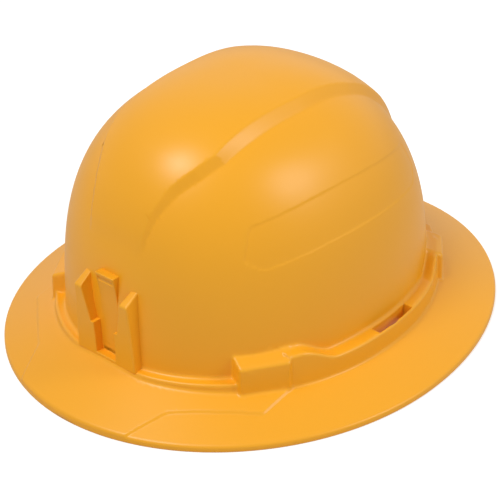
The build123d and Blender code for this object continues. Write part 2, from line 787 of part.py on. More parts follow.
def pinion():
    """Return the pinion: teeth between two journals and a square drive for the knob."""
    start = from_middle(casing_inner) + slide_gap
    end = from_middle(channel_outer) - slide_gap
    pitch_half = math.pi * tooth_module / 4 - tooth_backlash / 2
    slope = math.tan(math.radians(pressure_angle))
    root = pitch_radius - pinion_root
    tip = pitch_radius + pinion_tip
    outline = [(root - tooth_module / 4, -pitch_half - pinion_root * slope), (tip, -pitch_half + pinion_tip * slope),
               (tip, pitch_half - pinion_tip * slope), (root - tooth_module / 4, pitch_half + pinion_root * slope)]
    face = Face(Wire(Polyline(*outline, close=True).edges()))
    body = pin(root, start, end)
    for step in range(pinion_teeth):
        turn = 360 / pinion_teeth * (step + 0.5)
        tooth = Pos(0, end, size_plane_z) * extrude(Plane.XZ * (Rot(0, 0, turn + 90) * face), amount=end - start)
        body = body + tooth
    disc_end = from_middle(casing_outer)
    body = body + pin(journal_disc_radius, end, disc_end)
    body = body + pin(journal_radius, from_middle(cover_inner), start)
    square = block((-shaft_flat / 2, disc_end, size_plane_z - shaft_flat / 2),
                   (shaft_flat / 2, disc_end + shaft_length, size_plane_z + shaft_flat / 2))
    bore = pin(screw_radius + shaft_gap, disc_end, disc_end + shaft_length + overrun)
    return body + square - bore


def detent_spring():
    """Return the spring whose two arms click round the boss."""
    start = from_middle(casing_outer) + slide_gap
    end = start + spring_wall
    hub = pin(spring_hub_radius, start, end)
    middle = (boss_radius - boss_wall) - detent_depth - spring_arm_wall
    ring = pin(middle + spring_arm_wall / 2, start, end) - pin(middle - spring_arm_wall / 2, start, end)
    half = spring_arm_wall / 2
    spokes = block((-half, start, size_plane_z - middle), (half, end, size_plane_z + middle))
    gaps = block((-middle - overrun, start, size_plane_z - middle / 2),
                 (-spring_hub_radius - half, end, size_plane_z - half))
    body = hub + ring + spokes - gaps - Pos(0, 0, 2 * size_plane_z) * Rot(0, 180, 0) * gaps
    for side in (-1, 1):
        tip = pin(half, start, end, side * middle * spring_tip_share, size_plane_z)
        body = body + tip
    half_flat = shaft_flat / 2 + shaft_gap
    square = block((-half_flat, start - overrun, size_plane_z - half_flat),
                   (half_flat, end + overrun, size_plane_z + half_flat))
    return body - square


def knob():
    """Return the fluted knob."""
    start = from_middle(casing_outer) + part_gap
    end = start + knob_length
    body = pin(knob_radius, start, end)
    body = fillet(body.faces().sort_by(Axis.Y)[-1].edges(), knob_round)
    for step in range(knob_flutes):
        turn = math.radians(360 / knob_flutes * step)
        reach = knob_radius + flute_radius - flute_bite
        body = body - pin(flute_radius, start, end, reach * math.cos(turn), size_plane_z + reach * math.sin(turn))
    body = body - pin(knob_dish_radius, end - knob_dish_depth, end + overrun)
    hollow_end = start + knob_hollow_depth
    hollow = pin(knob_radius - knob_skirt_wall, start - overrun, hollow_end)
    hub_start = from_middle(casing_outer) + slide_gap + spring_wall + slide_gap
    body = body - hollow + pin(knob_hub_radius, hub_start, hollow_end)
    half_flat = shaft_flat / 2 + shaft_gap
    square = block((-half_flat, hub_start - overrun, size_plane_z - half_flat),
                   (half_flat, from_middle(casing_outer) + shaft_length + part_gap, size_plane_z + half_flat))
    screw = pin(screw_radius + shaft_gap, start, end)
    head = pin(screw_head_radius + shaft_gap, end - knob_dish_depth - screw_head_height, end)
    return body - square - screw - head


def knob_screw():
    """Return the screw that holds the knob on the pinion."""
    end = from_middle(casing_outer) + part_gap + knob_length - knob_dish_depth
    start = from_middle(casing_outer) + screw_tip
    head = pin(screw_head_radius, end - screw_head_height, end)
    recess = Pos(0, end, size_plane_z) * Rot(90, 0, 0) * extrude(
        RegularPolygon(screw_recess_radius, 6), amount=screw_head_height / 2, both=True)
    return head + pin(screw_radius, start, end - screw_head_height) - recess


def write(shape, name):
    """Write one node's solid as a STEP file."""
    export_step(shape, f"parts/{name}.step")


def main():
    """Build every node and write it."""
    os.makedirs("parts", exist_ok=True)
    front_plane = socket_plane(front_socket_turn)
    rear_plane = socket_plane(rear_socket_turn)
    write(shell(), "shell")
    front_key = key(front_plane, headband_front_y)
    rear_key = key(rear_plane, headband_rear_y)
    write(front_key, "key_front_left")
    write(mirrored(front_key), "key_front_right")
    write(rear_key, "key_rear_left")
    write(mirrored(rear_key), "key_rear_right")
    write(crown_strap(0), "crown_strap_lower")
    write(mirrored(crown_strap(strap_cross_rise)), "crown_strap_upper")
    write(crown_pad(), "crown_pad")
    write(headband([(front_plane, headband_front_y), (rear_plane, headband_rear_y)]), "headband")
    write(sweatband(), "sweatband")
    write(pivot_button(layer_radius(0) + nape_strap_wall), "pivot_button_left")
    write(mirrored(pivot_button(layer_radius(1) + nape_strap_wall)), "pivot_button_right")
    write(nape_strap(0, 1), "nape_strap_left")
    write(mirrored(nape_strap(1, -1)), "nape_strap_right")
    write(ratchet_housing(), "ratchet_housing")
    write(ratchet_cover(), "ratchet_cover")
    write(Compound(adjuster_screws(0)), "cover_screws")
    write(nape_pad(), "nape_pad")
    write(pinion(), "pinion")
    write(detent_spring(), "detent_spring")
    write(knob(), "knob")
    write(knob_screw(), "knob_screw")


main()
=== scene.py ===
"""Looks of a full brim hard hat: shell, suspension, headgear and size adjuster.

Lengths in the dataclasses are millimetres in the hat's own frame: +Z up, the front faces -Y, and +X is the
wearer's left. Meshes are written in metres.
"""

import logging
import math
from collections.abc import Callable, Sequence
from dataclasses import dataclass
from enum import Enum
from typing import Protocol

import bpy
import numpy as np
import openvdb
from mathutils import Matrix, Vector


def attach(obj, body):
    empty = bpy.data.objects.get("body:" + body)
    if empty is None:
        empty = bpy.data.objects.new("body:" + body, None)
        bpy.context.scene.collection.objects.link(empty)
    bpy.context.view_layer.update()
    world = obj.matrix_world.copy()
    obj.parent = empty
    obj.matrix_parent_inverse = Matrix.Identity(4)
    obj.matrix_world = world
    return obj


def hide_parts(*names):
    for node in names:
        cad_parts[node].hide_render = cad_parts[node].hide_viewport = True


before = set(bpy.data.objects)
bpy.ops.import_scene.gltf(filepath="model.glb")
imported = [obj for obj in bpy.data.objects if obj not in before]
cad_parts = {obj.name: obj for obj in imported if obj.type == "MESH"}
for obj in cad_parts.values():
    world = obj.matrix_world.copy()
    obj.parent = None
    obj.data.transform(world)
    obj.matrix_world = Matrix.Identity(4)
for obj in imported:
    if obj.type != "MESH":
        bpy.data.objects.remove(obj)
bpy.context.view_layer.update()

MM = 0.001
log = logging.getLogger("hard_hat")

STITCH_PITCH = 2.8
STITCH_GAP = 0.12
THREAD_RADIUS = 0.28
STRAP_CELL = 1.5
PAD_CELL = 0.9
SHELL_CELL = 0.9
FIT_ROUNDS = 2
FIT_STEP = 0.05
NORMAL_STEP = 0.15
LEAST_SLOPE = 0.05
LEAST_SIZE = 1e-6

Array = np.ndarray
Colour = tuple[float, float, float]
Field = Callable[[Array, Array, Array], Array]


def soft_max(a: Array, b: Array | float, blend: float) -> Array:
    """Return the larger of two distances, rounded where they cross.

    Args:
        a: First distance field.
        b: Second distance field.
        blend: Reach of the rounding on each side of the crossing.

    Returns:
        The rounded larger distance.
    """
    near = np.maximum(blend - np.abs(a - b), 0) / blend
    return np.maximum(a, b) + near * near * blend / 4


def soft_min(a: Array, b: Array | float, blend: float) -> Array:
    """Return the smaller of two distances, filleted where they cross."""
    return -soft_max(-a, -b, blend)


def smooth_step(low: float, high: float, value: Array) -> Array:
    """Return 0 below low, 1 above high and a smooth ramp between."""
    share = np.clip((value - low) / (high - low), 0, 1)
    return share * share * (3 - 2 * share)


class Side(Enum):
    """The wearer's sides of the hat."""

    LEFT = 1
    RIGHT = -1


@dataclass(frozen=True)
class Oval:
    """Plan outline with its own reach in front and behind.

    Attributes:
        side: Half width.
        front: Reach towards the front.
        rear: Reach towards the rear.
        power: How square the outline is; 2 is an ellipse.
        middle_y: Place of the widest point.
    """

    side: float
    front: float
    rear: float
    power: float
    middle_y: float

    def terms(self, x: Array, y: Array, inset: float = 0.0) -> tuple[Array, Array]:
        """Return the across and the ahead term of the outline's equation."""
        along = y - self.middle_y
        reach = np.where(along > 0, self.rear, self.front) - inset
        return (np.abs(x) / (self.side - inset)) ** self.power, (np.abs(along) / reach) ** self.power

    def radius(self, x: Array, y: Array) -> tuple[Array, Array]:
        """Return a point's distance from the middle and the outline's distance on the same ray."""
        across, ahead = self.terms(x, y)
        distance = np.hypot(x, y - self.middle_y)
        return distance, distance / np.maximum((across + ahead) ** (1 / self.power), 1e-6)

    def outside(self, x: Array, y: Array, inset: float = 0.0) -> Array:
        """Return how far a plan point lies outside the outline, drawn in by the inset."""
        distance, edge = self.radius(x, y)
        return distance - edge + inset


@dataclass(frozen=True)
class PocketForm:
    """Sizes of the pocket between the bracket's rails, and of the tongue's face at its back."""

    foot_z: float = 25.2
    step_z: float = 45.6
    lip_z: float = 68.3
    head_z: float = 75.2
    foot_half: float = 7.6
    low_half: float = 8.4
    mid_half: float = 10.6
    lip_half: float = 15.4
    head_half: float = 16.4
    grow: float = 0.8
    face_y: float = -126.4
    face_lean: float = 0.4
    face_bend: float = 4.1
    face_foot_z: float = 25.0
    face_length: float = 55.0
    back_wall: float = 2.4

    def half(self, z: Array) -> Array:
        """Return the pocket's half width at a height."""
        low = np.interp(z, (self.foot_z, self.step_z), (self.foot_half, self.low_half))
        high = np.interp(z, (self.step_z, self.lip_z, self.head_z), (self.mid_half, self.lip_half, self.head_half))
        return np.where(z < self.step_z, low, high)

    def face(self, z: Array) -> Array:
        """Return the place of the tongue's face at a height."""
        share = np.clip((z - self.face_foot_z) / self.face_length, 0, 1)
        return self.face_y - self.face_lean * share - self.face_bend * share ** 4

    def distance(self, x: Array, y: Array, z: Array) -> Array:
        """Return the distance outside the recess that the pocket needs in the dome."""
        sides = np.maximum(np.abs(x) - self.half(z) - self.grow, self.foot_z - self.grow - z)
        return np.maximum(sides, y - self.face(z))

    def backing(self, x: Array, y: Array, z: Array) -> Array:
        """Return the distance outside the plastic that stays behind the recess."""
        sides = np.maximum(np.abs(x) - self.half(z) - self.back_wall, self.foot_z - self.back_wall - z)
        return np.maximum(sides, y - self.face(z) - self.back_wall)


@dataclass(frozen=True)
class HousingForm:
    """One socket housing on the rib, on each side of the hat.

    Attributes:
        turn: Place on the dome's outline, up from the side towards the rear.
        lag: How far the housing is set back along the wall.
        half: Half its length along the wall.
        depth: How far it stands out from the dome's foot.
        wall_top: Height of its roof at the wall.
        fall: How far the roof falls towards its outer edge.
        tilt: Fall of the roof along the wall, towards the front.
        rounding: Radius of its edges.
        draft: Slope of its end walls, which spread towards the dome.
    """

    turn: float
    lag: float
    half: float
    depth: float
    wall_top: float
    fall: float
    tilt: float = 0.0
    rounding: float = 2.2
    draft: float = 0.0

    def distance(self, wall: Array, outward: Array, z: Array) -> Array:
        """Return the distance outside the housing, from a point's place along and off the wall."""
        half = self.half + self.draft * (self.depth - outward)
        sides = soft_max(np.abs(wall + self.lag) - half, outward - self.depth, self.rounding)
        roof = self.wall_top - self.fall * outward / self.depth - self.tilt * wall
        return soft_max(sides, z - roof, self.rounding)

    def core(self, wall: Array, outward: Array, inward: float) -> Array:
        """Return the plan distance outside the plastic that stays solid round its socket."""
        return np.maximum(np.abs(wall + self.lag) - self.half, np.maximum(outward - self.depth, -inward - outward))


@dataclass(frozen=True)
class ShellForm:
    """Sizes of the moulded shell: the CAD part's, with the rib, the bill, the band and the housings drawn finer."""

    wall: float = 2.5
    brim_wall: float = 2.4
    edge_z: float = 4.0
    root_z: float = 22.0
    brim_edge: Oval = Oval(140.5, 159.7, 176.0, 2.0, -8.15)
    brim_root: Oval = Oval(90.5, 121.65, 126.05, 2.15, -8.15)
    brim_slope_cosine: float = 0.93
    brim_round: float = 1.6
    dome_plan: Oval = Oval(97.0, 118.5, 124.0, 2.15, -9.5)
    dome_start_z: float = 22.0
    dome_height: float = 140.5
    side_power: float = 2.48
    front_power: float = 3.18
    rear_power: float = 2.17
    rib_plan: Oval = Oval(107.5, 125.1, 132.0, 2.08, -9.5)
    rib_lean: float = 0.05
    rib_lean_z: float = 8.0
    rib_front_y: float = -131.6
    rib_front_top: float = 24.0
    rib_side_top: float = 28.4
    rib_shoulder_top: float = 38.8
    rib_shoulder_fall: float = 0.2
    rib_step_y: float = -74.8
    rib_shoulder_y: float = -67.0
    rib_wave_end_y: float = -42.0
    rib_rear_top: float = 36.4
    rib_rear_rise: tuple[float, float] = (55.0, 73.0)
    rib_rear_fall: tuple[float, float] = (88.0, 94.0)
    rib_round: float = 2.0
    rib_fillet: float = 3.0
    rib_front_round: float = 3.0
    housing_fillet: float = 1.4
    sole_round: float = 1.2
    recess_round: float = 0.4
    mouth_round: float = 0.8
    hollow_round: float = 1.0
    housings: tuple[HousingForm, ...] = (
        HousingForm(-38.5, 2.3, 15.1, 8.6, 38.7, 3.7, 0.015, 1.8, 0.2),
        HousingForm(55.0, 0.0, 12.2, 6.9, 33.4, 0.6),
        HousingForm(45.5, 0.0, 13.3, 10.3, 38.2, 3.2, 0.0, 3.0),
    )
    socket_turns: tuple[float, float] = (-38.5, 55.0)
    socket_half: float = 10.2
    socket_near: float = 1.05
    socket_far: float = 4.75
    socket_top: float = 31.2
    slot_near: float = 1.9
    slot_far: float = 2.5
    slot_front_y: float = -9.0
    slot_rear_y: float = 25.0
    slot_wall: float = 2.6
    band_rise: float = 4.0
    band_edge: float = 0.12
    band_angles: tuple[float, ...] = (31, 38, 44, 50, 56, 62, 72, 90, 110, 130, 150, 166)
    band_top_shares: tuple[float, ...] = (
        0.19, 0.209, 0.231, 0.275, 0.346, 0.397, 0.393, 0.402, 0.39, 0.33, 0.26, 0.2)
    band_foot_shares: tuple[float, ...] = (
        0.198, 0.228, 0.262, 0.32, 0.392, 0.438, 0.454, 0.459, 0.437, 0.377, 0.303, 0.22)
    band_rise_shares: tuple[float, ...] = (-0.2, 0.3, 0.6, 0.8, 0.95, 1, 1, 1, 1, 1, 0.7, -0.2)
    bill_rise: float = 1.0
    bill_corner_x: float = 53.0
    bill_corner_y: float = -136.0
    bill_edge_x: float = 39.5
    bill_edge_y: float = -167.85
    bill_elbow: tuple[float, float] = (0.668, 0.744)
    bill_arm_width: float = 10.4
    bill_arm_end_x: float = 93.6
    bill_arm_end_y: float = -60.0
    bill_ramp: float = 1.6
    bill_blend: float = 1.0
    panel_depth: float = 0.28
    panel_ramp: float = 1.6
    panel_corner: float = 3.0
    panel_upper: tuple[float, float, float] = (121.0, 0.0016, -15.0)
    panel_lower: tuple[float, float, float] = (95.0, 0.0011, -10.0)
    panel_middle_y: float = -10.5
    panel_half_length: float = 70.5
    panel_end_z: float = 111.5
    panel_end_lean: float = 0.4137
    panel_end_cosine: float = 0.924
    panel_toe_round: float = 1.0
    panel_toe: tuple[float, float] = (76.5, 97.0)
    panel_toe_slope: tuple[float, float] = (0.659, 0.752)
    recess: PocketForm = PocketForm()

    def dome(self, x: Array, y: Array, z: Array, inset: float) -> Array:
        """Return the distance outside the dome, drawn in by the inset and without its crown band."""
        across, ahead = self.dome_plan.terms(x, y, inset)
        plan = (across + ahead) ** (1 / self.dome_plan.power)
        end_power = np.where(y > self.dome_plan.middle_y, self.rear_power, self.front_power)
        power = self.side_power + (end_power - self.side_power) * ahead / np.maximum(across + ahead, 1e-9)
        up = np.maximum(z - self.dome_start_z, 0)
        share = up / (self.dome_height - inset)
        scale = np.maximum((plan ** power + share ** power) ** (1 / power), 1e-6)
        distance = np.sqrt(x * x + (y - self.dome_plan.middle_y) ** 2 + up * up)
        return distance * (1 - 1 / scale)

    def panel(self, x: Array, y: Array, z: Array) -> Array:
        """Return how far the side panel sinks the dome at a point."""
        top, top_bend, top_y = self.panel_upper
        foot, foot_bend, foot_y = self.panel_lower
        along = np.abs(y - self.panel_middle_y)
        above = z - (top - top_bend * (y - top_y) ** 2)
        below = foot - foot_bend * (y - foot_y) ** 2 - z
        end = along - self.panel_half_length - (self.panel_end_z - z) * self.panel_end_lean
        toe_along, toe_z = self.panel_toe
        toe = (along - toe_along) * self.panel_toe_slope[0] - (z - toe_z) * self.panel_toe_slope[1]
        ends = soft_max(end * self.panel_end_cosine, toe, self.panel_toe_round)
        outside = soft_max(soft_max(above, below, self.panel_corner), ends, self.panel_corner)
        half = self.panel_ramp / 2
        return self.panel_depth * smooth_step(-half, half, -outside) * (np.abs(x) > self.panel_half_length / 2)

    def crown_band(self, x: Array, y: Array, z: Array) -> Array:
        """Return how far the crown band raises the dome at a point."""
        angle = np.degrees(np.arctan2(z - self.dome_start_z, self.dome_plan.middle_y - y))
        top = np.interp(angle, self.band_angles, self.band_top_shares) * self.dome_plan.side
        foot = np.interp(angle, self.band_angles, self.band_foot_shares) * self.dome_plan.side
        rise = np.maximum(np.interp(angle, self.band_angles, self.band_rise_shares), 0) * self.band_rise
        share = (foot - np.abs(x)) / np.maximum(foot - top, 0.1)
        return rise * soft_min(soft_max(share, 0.0, self.band_edge), 1.0, self.band_edge)

    def bill(self, x: Array, y: Array) -> Array:
        """Return how far the bill and its arms raise the brim at a plan point."""
        slope = (self.bill_corner_x - self.bill_edge_x) / (self.bill_corner_y - self.bill_edge_y)
        half = self.bill_edge_x + (y - self.bill_edge_y) * slope
        centre = soft_max(np.abs(x) - half, y - self.bill_corner_y, self.bill_ramp)
        across, ahead = self.bill_elbow
        elbow = (np.abs(x) - self.bill_corner_x) * across - (y - self.bill_corner_y) * ahead
        arms = soft_min(self.rib_plan.outside(x, y, -self.bill_arm_width), elbow, self.bill_blend)
        arms = soft_max(arms, np.abs(x) - self.bill_arm_end_x, self.bill_ramp)
        arms = np.maximum(arms, y - self.bill_arm_end_y)
        inside = -soft_min(centre, arms, self.bill_blend)
        return self.bill_rise * smooth_step(-self.bill_ramp / 2, self.bill_ramp / 2, inside)

    def brim_top(self, x: Array, y: Array) -> tuple[Array, Array]:
        """Return the height of the brim's top face and the distance outside its edge."""
        distance, edge = self.brim_edge.radius(x, y)
        root = self.brim_root.radius(x, y)[1]
        share = np.maximum((distance - root) / (edge - root), 0)
        return self.root_z + (self.edge_z - self.root_z) * share, distance - edge

    def rib_top(self, x: Array, y: Array) -> Array:
        """Return the height of the rib's top at a plan point."""
        wave = smooth_step(self.rib_shoulder_y, self.rib_wave_end_y, y)
        shoulder = self.rib_shoulder_top - self.rib_shoulder_fall * np.maximum(self.dome_plan.outside(x, y), 0)
        behind = shoulder + (self.rib_side_top - shoulder) * wave
        lump = smooth_step(*self.rib_rear_rise, y) - smooth_step(*self.rib_rear_fall, y)
        behind = behind + (self.rib_rear_top - self.rib_side_top) * lump
        return np.where(y < self.rib_step_y, self.rib_front_top, behind)

    def rib(self, x: Array, y: Array, z: Array, inset: float) -> Array:
        """Return the distance outside the rib, drawn in and lowered by the inset."""
        lean = self.rib_lean * (z - self.rib_lean_z)
        plan = soft_max(self.rib_plan.outside(x, y, inset) + lean, self.rib_front_y + inset - y, self.rib_front_round)
        return soft_max(plan, z - self.rib_top(x, y) + inset, self.rib_round)

    def socket_frame(self, turn: float) -> tuple[float, float, float, float]:
        """Return the place of a socket on the wearer's left and its outward direction in plan."""
        plan = self.dome_plan
        angle = math.radians(turn)
        reach = plan.rear if turn > 0 else plan.front
        along = math.copysign(abs(math.sin(angle)) ** (2 / plan.power), turn)
        across = math.cos(angle) ** (2 / plan.power)
        slope_x = across ** (plan.power - 1) / plan.side
        slope_y = math.copysign(abs(along) ** (plan.power - 1), turn) / reach
        size = math.hypot(slope_x, slope_y)
        return across * plan.side, plan.middle_y + along * reach, slope_x / size, slope_y / size

    def socket_axes(self, x: Array, y: Array, turn: float) -> tuple[Array, Array]:
        """Return a plan point's place along a socket's wall and outward from it."""
        place_x, place_y, out_x, out_y = self.socket_frame(turn)
        across, along = np.abs(x) - place_x, y - place_y
        return across * out_y - along * out_x, across * out_x + along * out_y

    def hollows(self, x: Array, y: Array, z: Array) -> Array:
        """Return the distance outside the space under the dome, the rib and the brim."""
        top, beyond = self.brim_top(x, y)
        rib = self.rib(x, y, z, self.wall)
        across = np.maximum(self.slot_near - self.dome_plan.outside(x, y), self.rib_plan.outside(x, y, self.slot_far))
        slot = np.maximum(across, np.maximum(self.slot_front_y - y, y - self.slot_rear_y))
        rib = np.maximum(rib, self.slot_wall - slot)
        holes = [slot]
        for turn, housing in zip(self.socket_turns, self.housings):
            wall, outward = self.socket_axes(x, y, turn)
            rib = np.maximum(rib, -housing.core(wall, outward, self.wall))
            sides = np.maximum(self.socket_near - outward, outward - self.socket_far)
            hole = np.maximum(np.abs(wall) - self.socket_half, sides)
            holes.append(np.maximum(hole, z - self.socket_top))
        brim = np.maximum((z - top) * self.brim_slope_cosine + self.brim_wall, beyond + self.brim_wall)
        room = np.maximum(self.dome(x, y, z, self.wall), -self.recess.backing(x, y, z))
        space = np.minimum(soft_min(room, rib, self.hollow_round), brim)
        for hole in holes:
            space = np.minimum(space, hole)
        return space

    def distance(self, x: Array, y: Array, z: Array) -> Array:
        """Return the distance outside the shell's plastic."""
        top, beyond = self.brim_top(x, y)
        brim = soft_max((z - top - self.bill(x, y)) * self.brim_slope_cosine, beyond, self.brim_round)
        dome = self.dome(x, y, z, 0.0) - self.crown_band(x, y, z) + self.panel(x, y, z)
        solid = soft_min(dome, self.rib(x, y, z, 0.0), self.rib_fillet)
        for housing in self.housings:
            block = housing.distance(*self.socket_axes(x, y, housing.turn), z)
            solid = soft_min(solid, block, self.housing_fillet)
        solid = soft_max(soft_min(solid, brim, self.brim_round), -z, self.sole_round)
        solid = soft_max(solid, -self.recess.distance(x, y, z), self.recess_round)
        return soft_max(solid, -self.hollows(x, y, z), self.mouth_round)


@dataclass(frozen=True)
class BracketForm:
    """Sizes of the front bracket: two notched rails round a ramped catch tongue."""

    shell: ShellForm
    pocket: PocketForm = PocketForm()
    foot_half: float = 23.4
    head_half: float = 20.8
    foot_z: float = 22.7
    peak_z: float = 73.2
    front_y: float = -131.4
    front_z: float = 25.0
    front_height: float = 43.2
    front_lean: float = 1.38
    front_bend: float = 1.82
    lip_y: float = -134.6
    lip_z: float = 68.2
    top_slope: float = 0.575
    edge_round: float = 1.2
    pocket_round: float = 0.7
    tongue_round: float = 0.8
    tongue_fillet: float = 0.3
    catch_round: float = 0.5
    tongue_half: float = 7.3
    tongue_top_z: float = 80.0
    tongue_tip_y: float = -130.9
    catch_half: float = 5.9
    catch_height: float = 3.0
    catch_depth: float = 2.0
    catch_drop: float = 2.6
    sunk: float = 2.0

    def rails(self, x: Array, y: Array, z: Array) -> Array:
        """Return the distance outside the rails, before the pocket is cut."""
        height_share = (z - self.foot_z) / (self.peak_z - self.foot_z)
        half = self.foot_half + (self.head_half - self.foot_half) * height_share
        share = np.maximum((z - self.front_z) / self.front_height, 0)
        front = self.front_y - self.front_lean * share - self.front_bend * share ** 2 - y
        top = (z - self.lip_z - (y - self.lip_y) * self.top_slope) / math.hypot(1, self.top_slope)
        body = soft_max(np.abs(x) - half, front, self.edge_round)
        return soft_max(soft_max(body, top, self.edge_round), self.foot_z - z, self.edge_round)

    def tongue(self, x: Array, y: Array, z: Array) -> Array:
        """Return the distance outside the tongue with its catch window."""
        sides = soft_max(np.abs(x) - self.tongue_half, self.pocket.face(z) - y, self.tongue_round)
        sides = soft_max(sides, z - self.tongue_top_z, self.tongue_round)
        catch_top = self.tongue_top_z - self.catch_drop
        level = np.maximum(z - catch_top, catch_top - self.catch_height - z)
        catch = np.maximum(np.maximum(np.abs(x) - self.catch_half, level),
                           y - self.tongue_tip_y - self.catch_depth)
        return soft_max(np.maximum(sides, self.pocket.foot_z - z), -catch, self.catch_round)

    def distance(self, x: Array, y: Array, z: Array) -> Array:
        """Return the distance outside the bracket."""
        pocket = np.maximum(np.abs(x) - self.pocket.half(z), self.pocket.foot_z - z)
        body = soft_max(self.rails(x, y, z), -pocket, self.pocket_round)
        whole = soft_min(body, self.tongue(x, y, z), self.tongue_fillet)
        return np.maximum(whole, -self.shell.dome(x, y, z, self.sunk))


def moulded(name: str, form: Field, low: Vector, high: Vector, cell: float, ease: float) -> bpy.types.Object:
    """Return the skin of a form that is symmetric about the hat's middle plane.

    Args:
        name: The new object's name.
        form: Distance outside the form in millimetres.
        low: Lowest corner of the room that holds it, in millimetres.
        high: Highest corner of the room.
        cell: Spacing of the samples.
        ease: How far faces may merge where the skin is smooth, from 0 to 1.

    Returns:
        A mesh object whose points lie on the form and whose normals are the form's own.
    """
    xs = (np.arange(math.ceil(high.x / cell)) + 0.5) * cell
    ys = np.arange(low.y, high.y, cell)
    zs = np.arange(low.z, high.z, cell)
    x, y = np.meshgrid(xs, ys, indexing="ij")
    half = form(x[:, :, None], y[:, :, None], zs[None, None, :])
    values = np.concatenate([half[::-1], half]).astype(np.float32)
    grid = openvdb.FloatGrid(background=3 * cell)
    grid.copyFromArray(np.clip(values, -3 * cell, 3 * cell))
    places, triangles, quads = grid.convertToPolygons(isovalue=0.0, adaptivity=ease)
    points = places.astype(float) * cell + (-xs[-1], low.y, low.z)
    points, normals = settle(form, points, cell)
    faces = [*quads.tolist(), *triangles.tolist()]
    data = bpy.data.meshes.new(name)
    data.from_pydata((points * MM).tolist(), [], faces)
    data.validate()
    middle = data.polygons[0]
    outward = Vector(normals[middle.vertices[0]])
    if middle.normal.dot(outward) < 0:
        data.flip_normals()
    data.polygons.foreach_set("use_smooth", [True] * len(data.polygons))
    data.normals_split_custom_set_from_vertices(normals.tolist())
    piece = bpy.data.objects.new(name, data)
    bpy.context.scene.collection.objects.link(piece)
    log.info("%s: %d points, %d faces", name, len(data.vertices), len(data.polygons))
    return piece


def slopes(form: Field, points: Array, step: float) -> Array:
    """Return the form's gradient at each point."""
    x, y, z = points.T
    return np.stack([
        form(x + step, y, z) - form(x - step, y, z),
        form(x, y + step, z) - form(x, y - step, z),
        form(x, y, z + step) - form(x, y, z - step),
    ], axis=1) / (2 * step)


def settle(form: Field, points: Array, cell: float) -> tuple[Array, Array]:
    """Return the points moved onto the form's surface, and the surface's normals there."""
    for _ in range(FIT_ROUNDS):
        gradient = slopes(form, points, FIT_STEP)
        square = np.maximum((gradient ** 2).sum(axis=1), LEAST_SLOPE)
        move = np.clip(form(*points.T) / square, -cell / 2, cell / 2)
        points = points - gradient * move[:, None]
    gradient = slopes(form, points, NORMAL_STEP)
    size = np.maximum(np.linalg.norm(gradient, axis=1), LEAST_SIZE)
    return points, gradient / size[:, None]


class Wiring:
    """A material's node tree, with short calls for the nodes that the finishes share."""

    def __init__(self, name: str) -> None:
        """Start a material with its shader."""
        self.material = bpy.data.materials.new(name)
        self.material.use_nodes = True
        self.shader = self.material.node_tree.nodes["Principled BSDF"]
        self.place = self.node("ShaderNodeTexCoord").outputs["Object"]

    def node(self, kind: str, **settings: str) -> bpy.types.Node:
        """Return a new node with its settings."""
        made = self.material.node_tree.nodes.new(kind)
        for key, value in settings.items():
            setattr(made, key, value)
        return made

    def link(self, source: bpy.types.NodeSocket, target: bpy.types.NodeSocket) -> None:
        """Join an output to an input."""
        self.material.node_tree.links.new(source, target)

    def noise(self, scale: float, detail: float) -> bpy.types.NodeSocket:
        """Return a cloud over the piece, at features per metre."""
        cloud = self.node("ShaderNodeTexNoise")
        cloud.inputs["Scale"].default_value = scale
        cloud.inputs["Detail"].default_value = detail
        self.link(self.place, cloud.inputs["Vector"])
        return cloud.outputs["Fac"]

    def wave(self, attribute: str, pitch: float, shift: float = 0.0) -> bpy.types.NodeSocket:
        """Return a sine of a piece's own coordinate, at a pitch in metres."""
        value = self.node("ShaderNodeAttribute", attribute_name=attribute).outputs["Fac"]
        scaled = self.node("ShaderNodeMath", operation="MULTIPLY_ADD")
        scaled.inputs[1].default_value = 2 * math.pi / pitch
        scaled.inputs[2].default_value = shift
        self.link(value, scaled.inputs[0])
        sine = self.node("ShaderNodeMath", operation="SINE")
        self.link(scaled.outputs[0], sine.inputs[0])
        return sine.outputs[0]

    def product(self, a: bpy.types.NodeSocket, b: bpy.types.NodeSocket) -> bpy.types.NodeSocket:
        """Return two values' product."""
        times = self.node("ShaderNodeMath", operation="MULTIPLY")
        self.link(a, times.inputs[0])
        self.link(b, times.inputs[1])
        return times.outputs[0]

    def ramp(self, value: bpy.types.NodeSocket, low: float, high: float, start: float = 0.0) -> bpy.types.NodeSocket:
        """Return a value from start to 1, carried over to the range from low to high."""
        level = self.node("ShaderNodeMapRange")
        level.inputs["From Min"].default_value = start
        level.inputs["To Min"].default_value = low
        level.inputs["To Max"].default_value = high
        self.link(value, level.inputs["Value"])
        return level.outputs["Result"]

    def tint(self, colour: Colour, spread: float, value: bpy.types.NodeSocket) -> None:
        """Vary the base colour a little about its mean."""
        mix = self.node("ShaderNodeMix", data_type="RGBA")
        mix.inputs[6].default_value = (*[part * (1 - spread) for part in colour], 1)
        mix.inputs[7].default_value = (*[min(part * (1 + spread), 1) for part in colour], 1)
        self.link(value, mix.inputs[0])
        self.link(mix.outputs[2], self.shader.inputs["Base Color"])

    def relief(self, value: bpy.types.NodeSocket, depth: float) -> None:
        """Raise the surface by the value, to a depth in metres."""
        bump = self.node("ShaderNodeBump")
        bump.inputs["Distance"].default_value = depth
        bump.inputs["Strength"].default_value = 1.0
        self.link(value, bump.inputs["Height"])
        self.link(bump.outputs["Normal"], self.shader.inputs["Normal"])

    def level(self, name: str, value: float) -> None:
        """Set one of the shader's uniform values."""
        self.shader.inputs[name].default_value = value


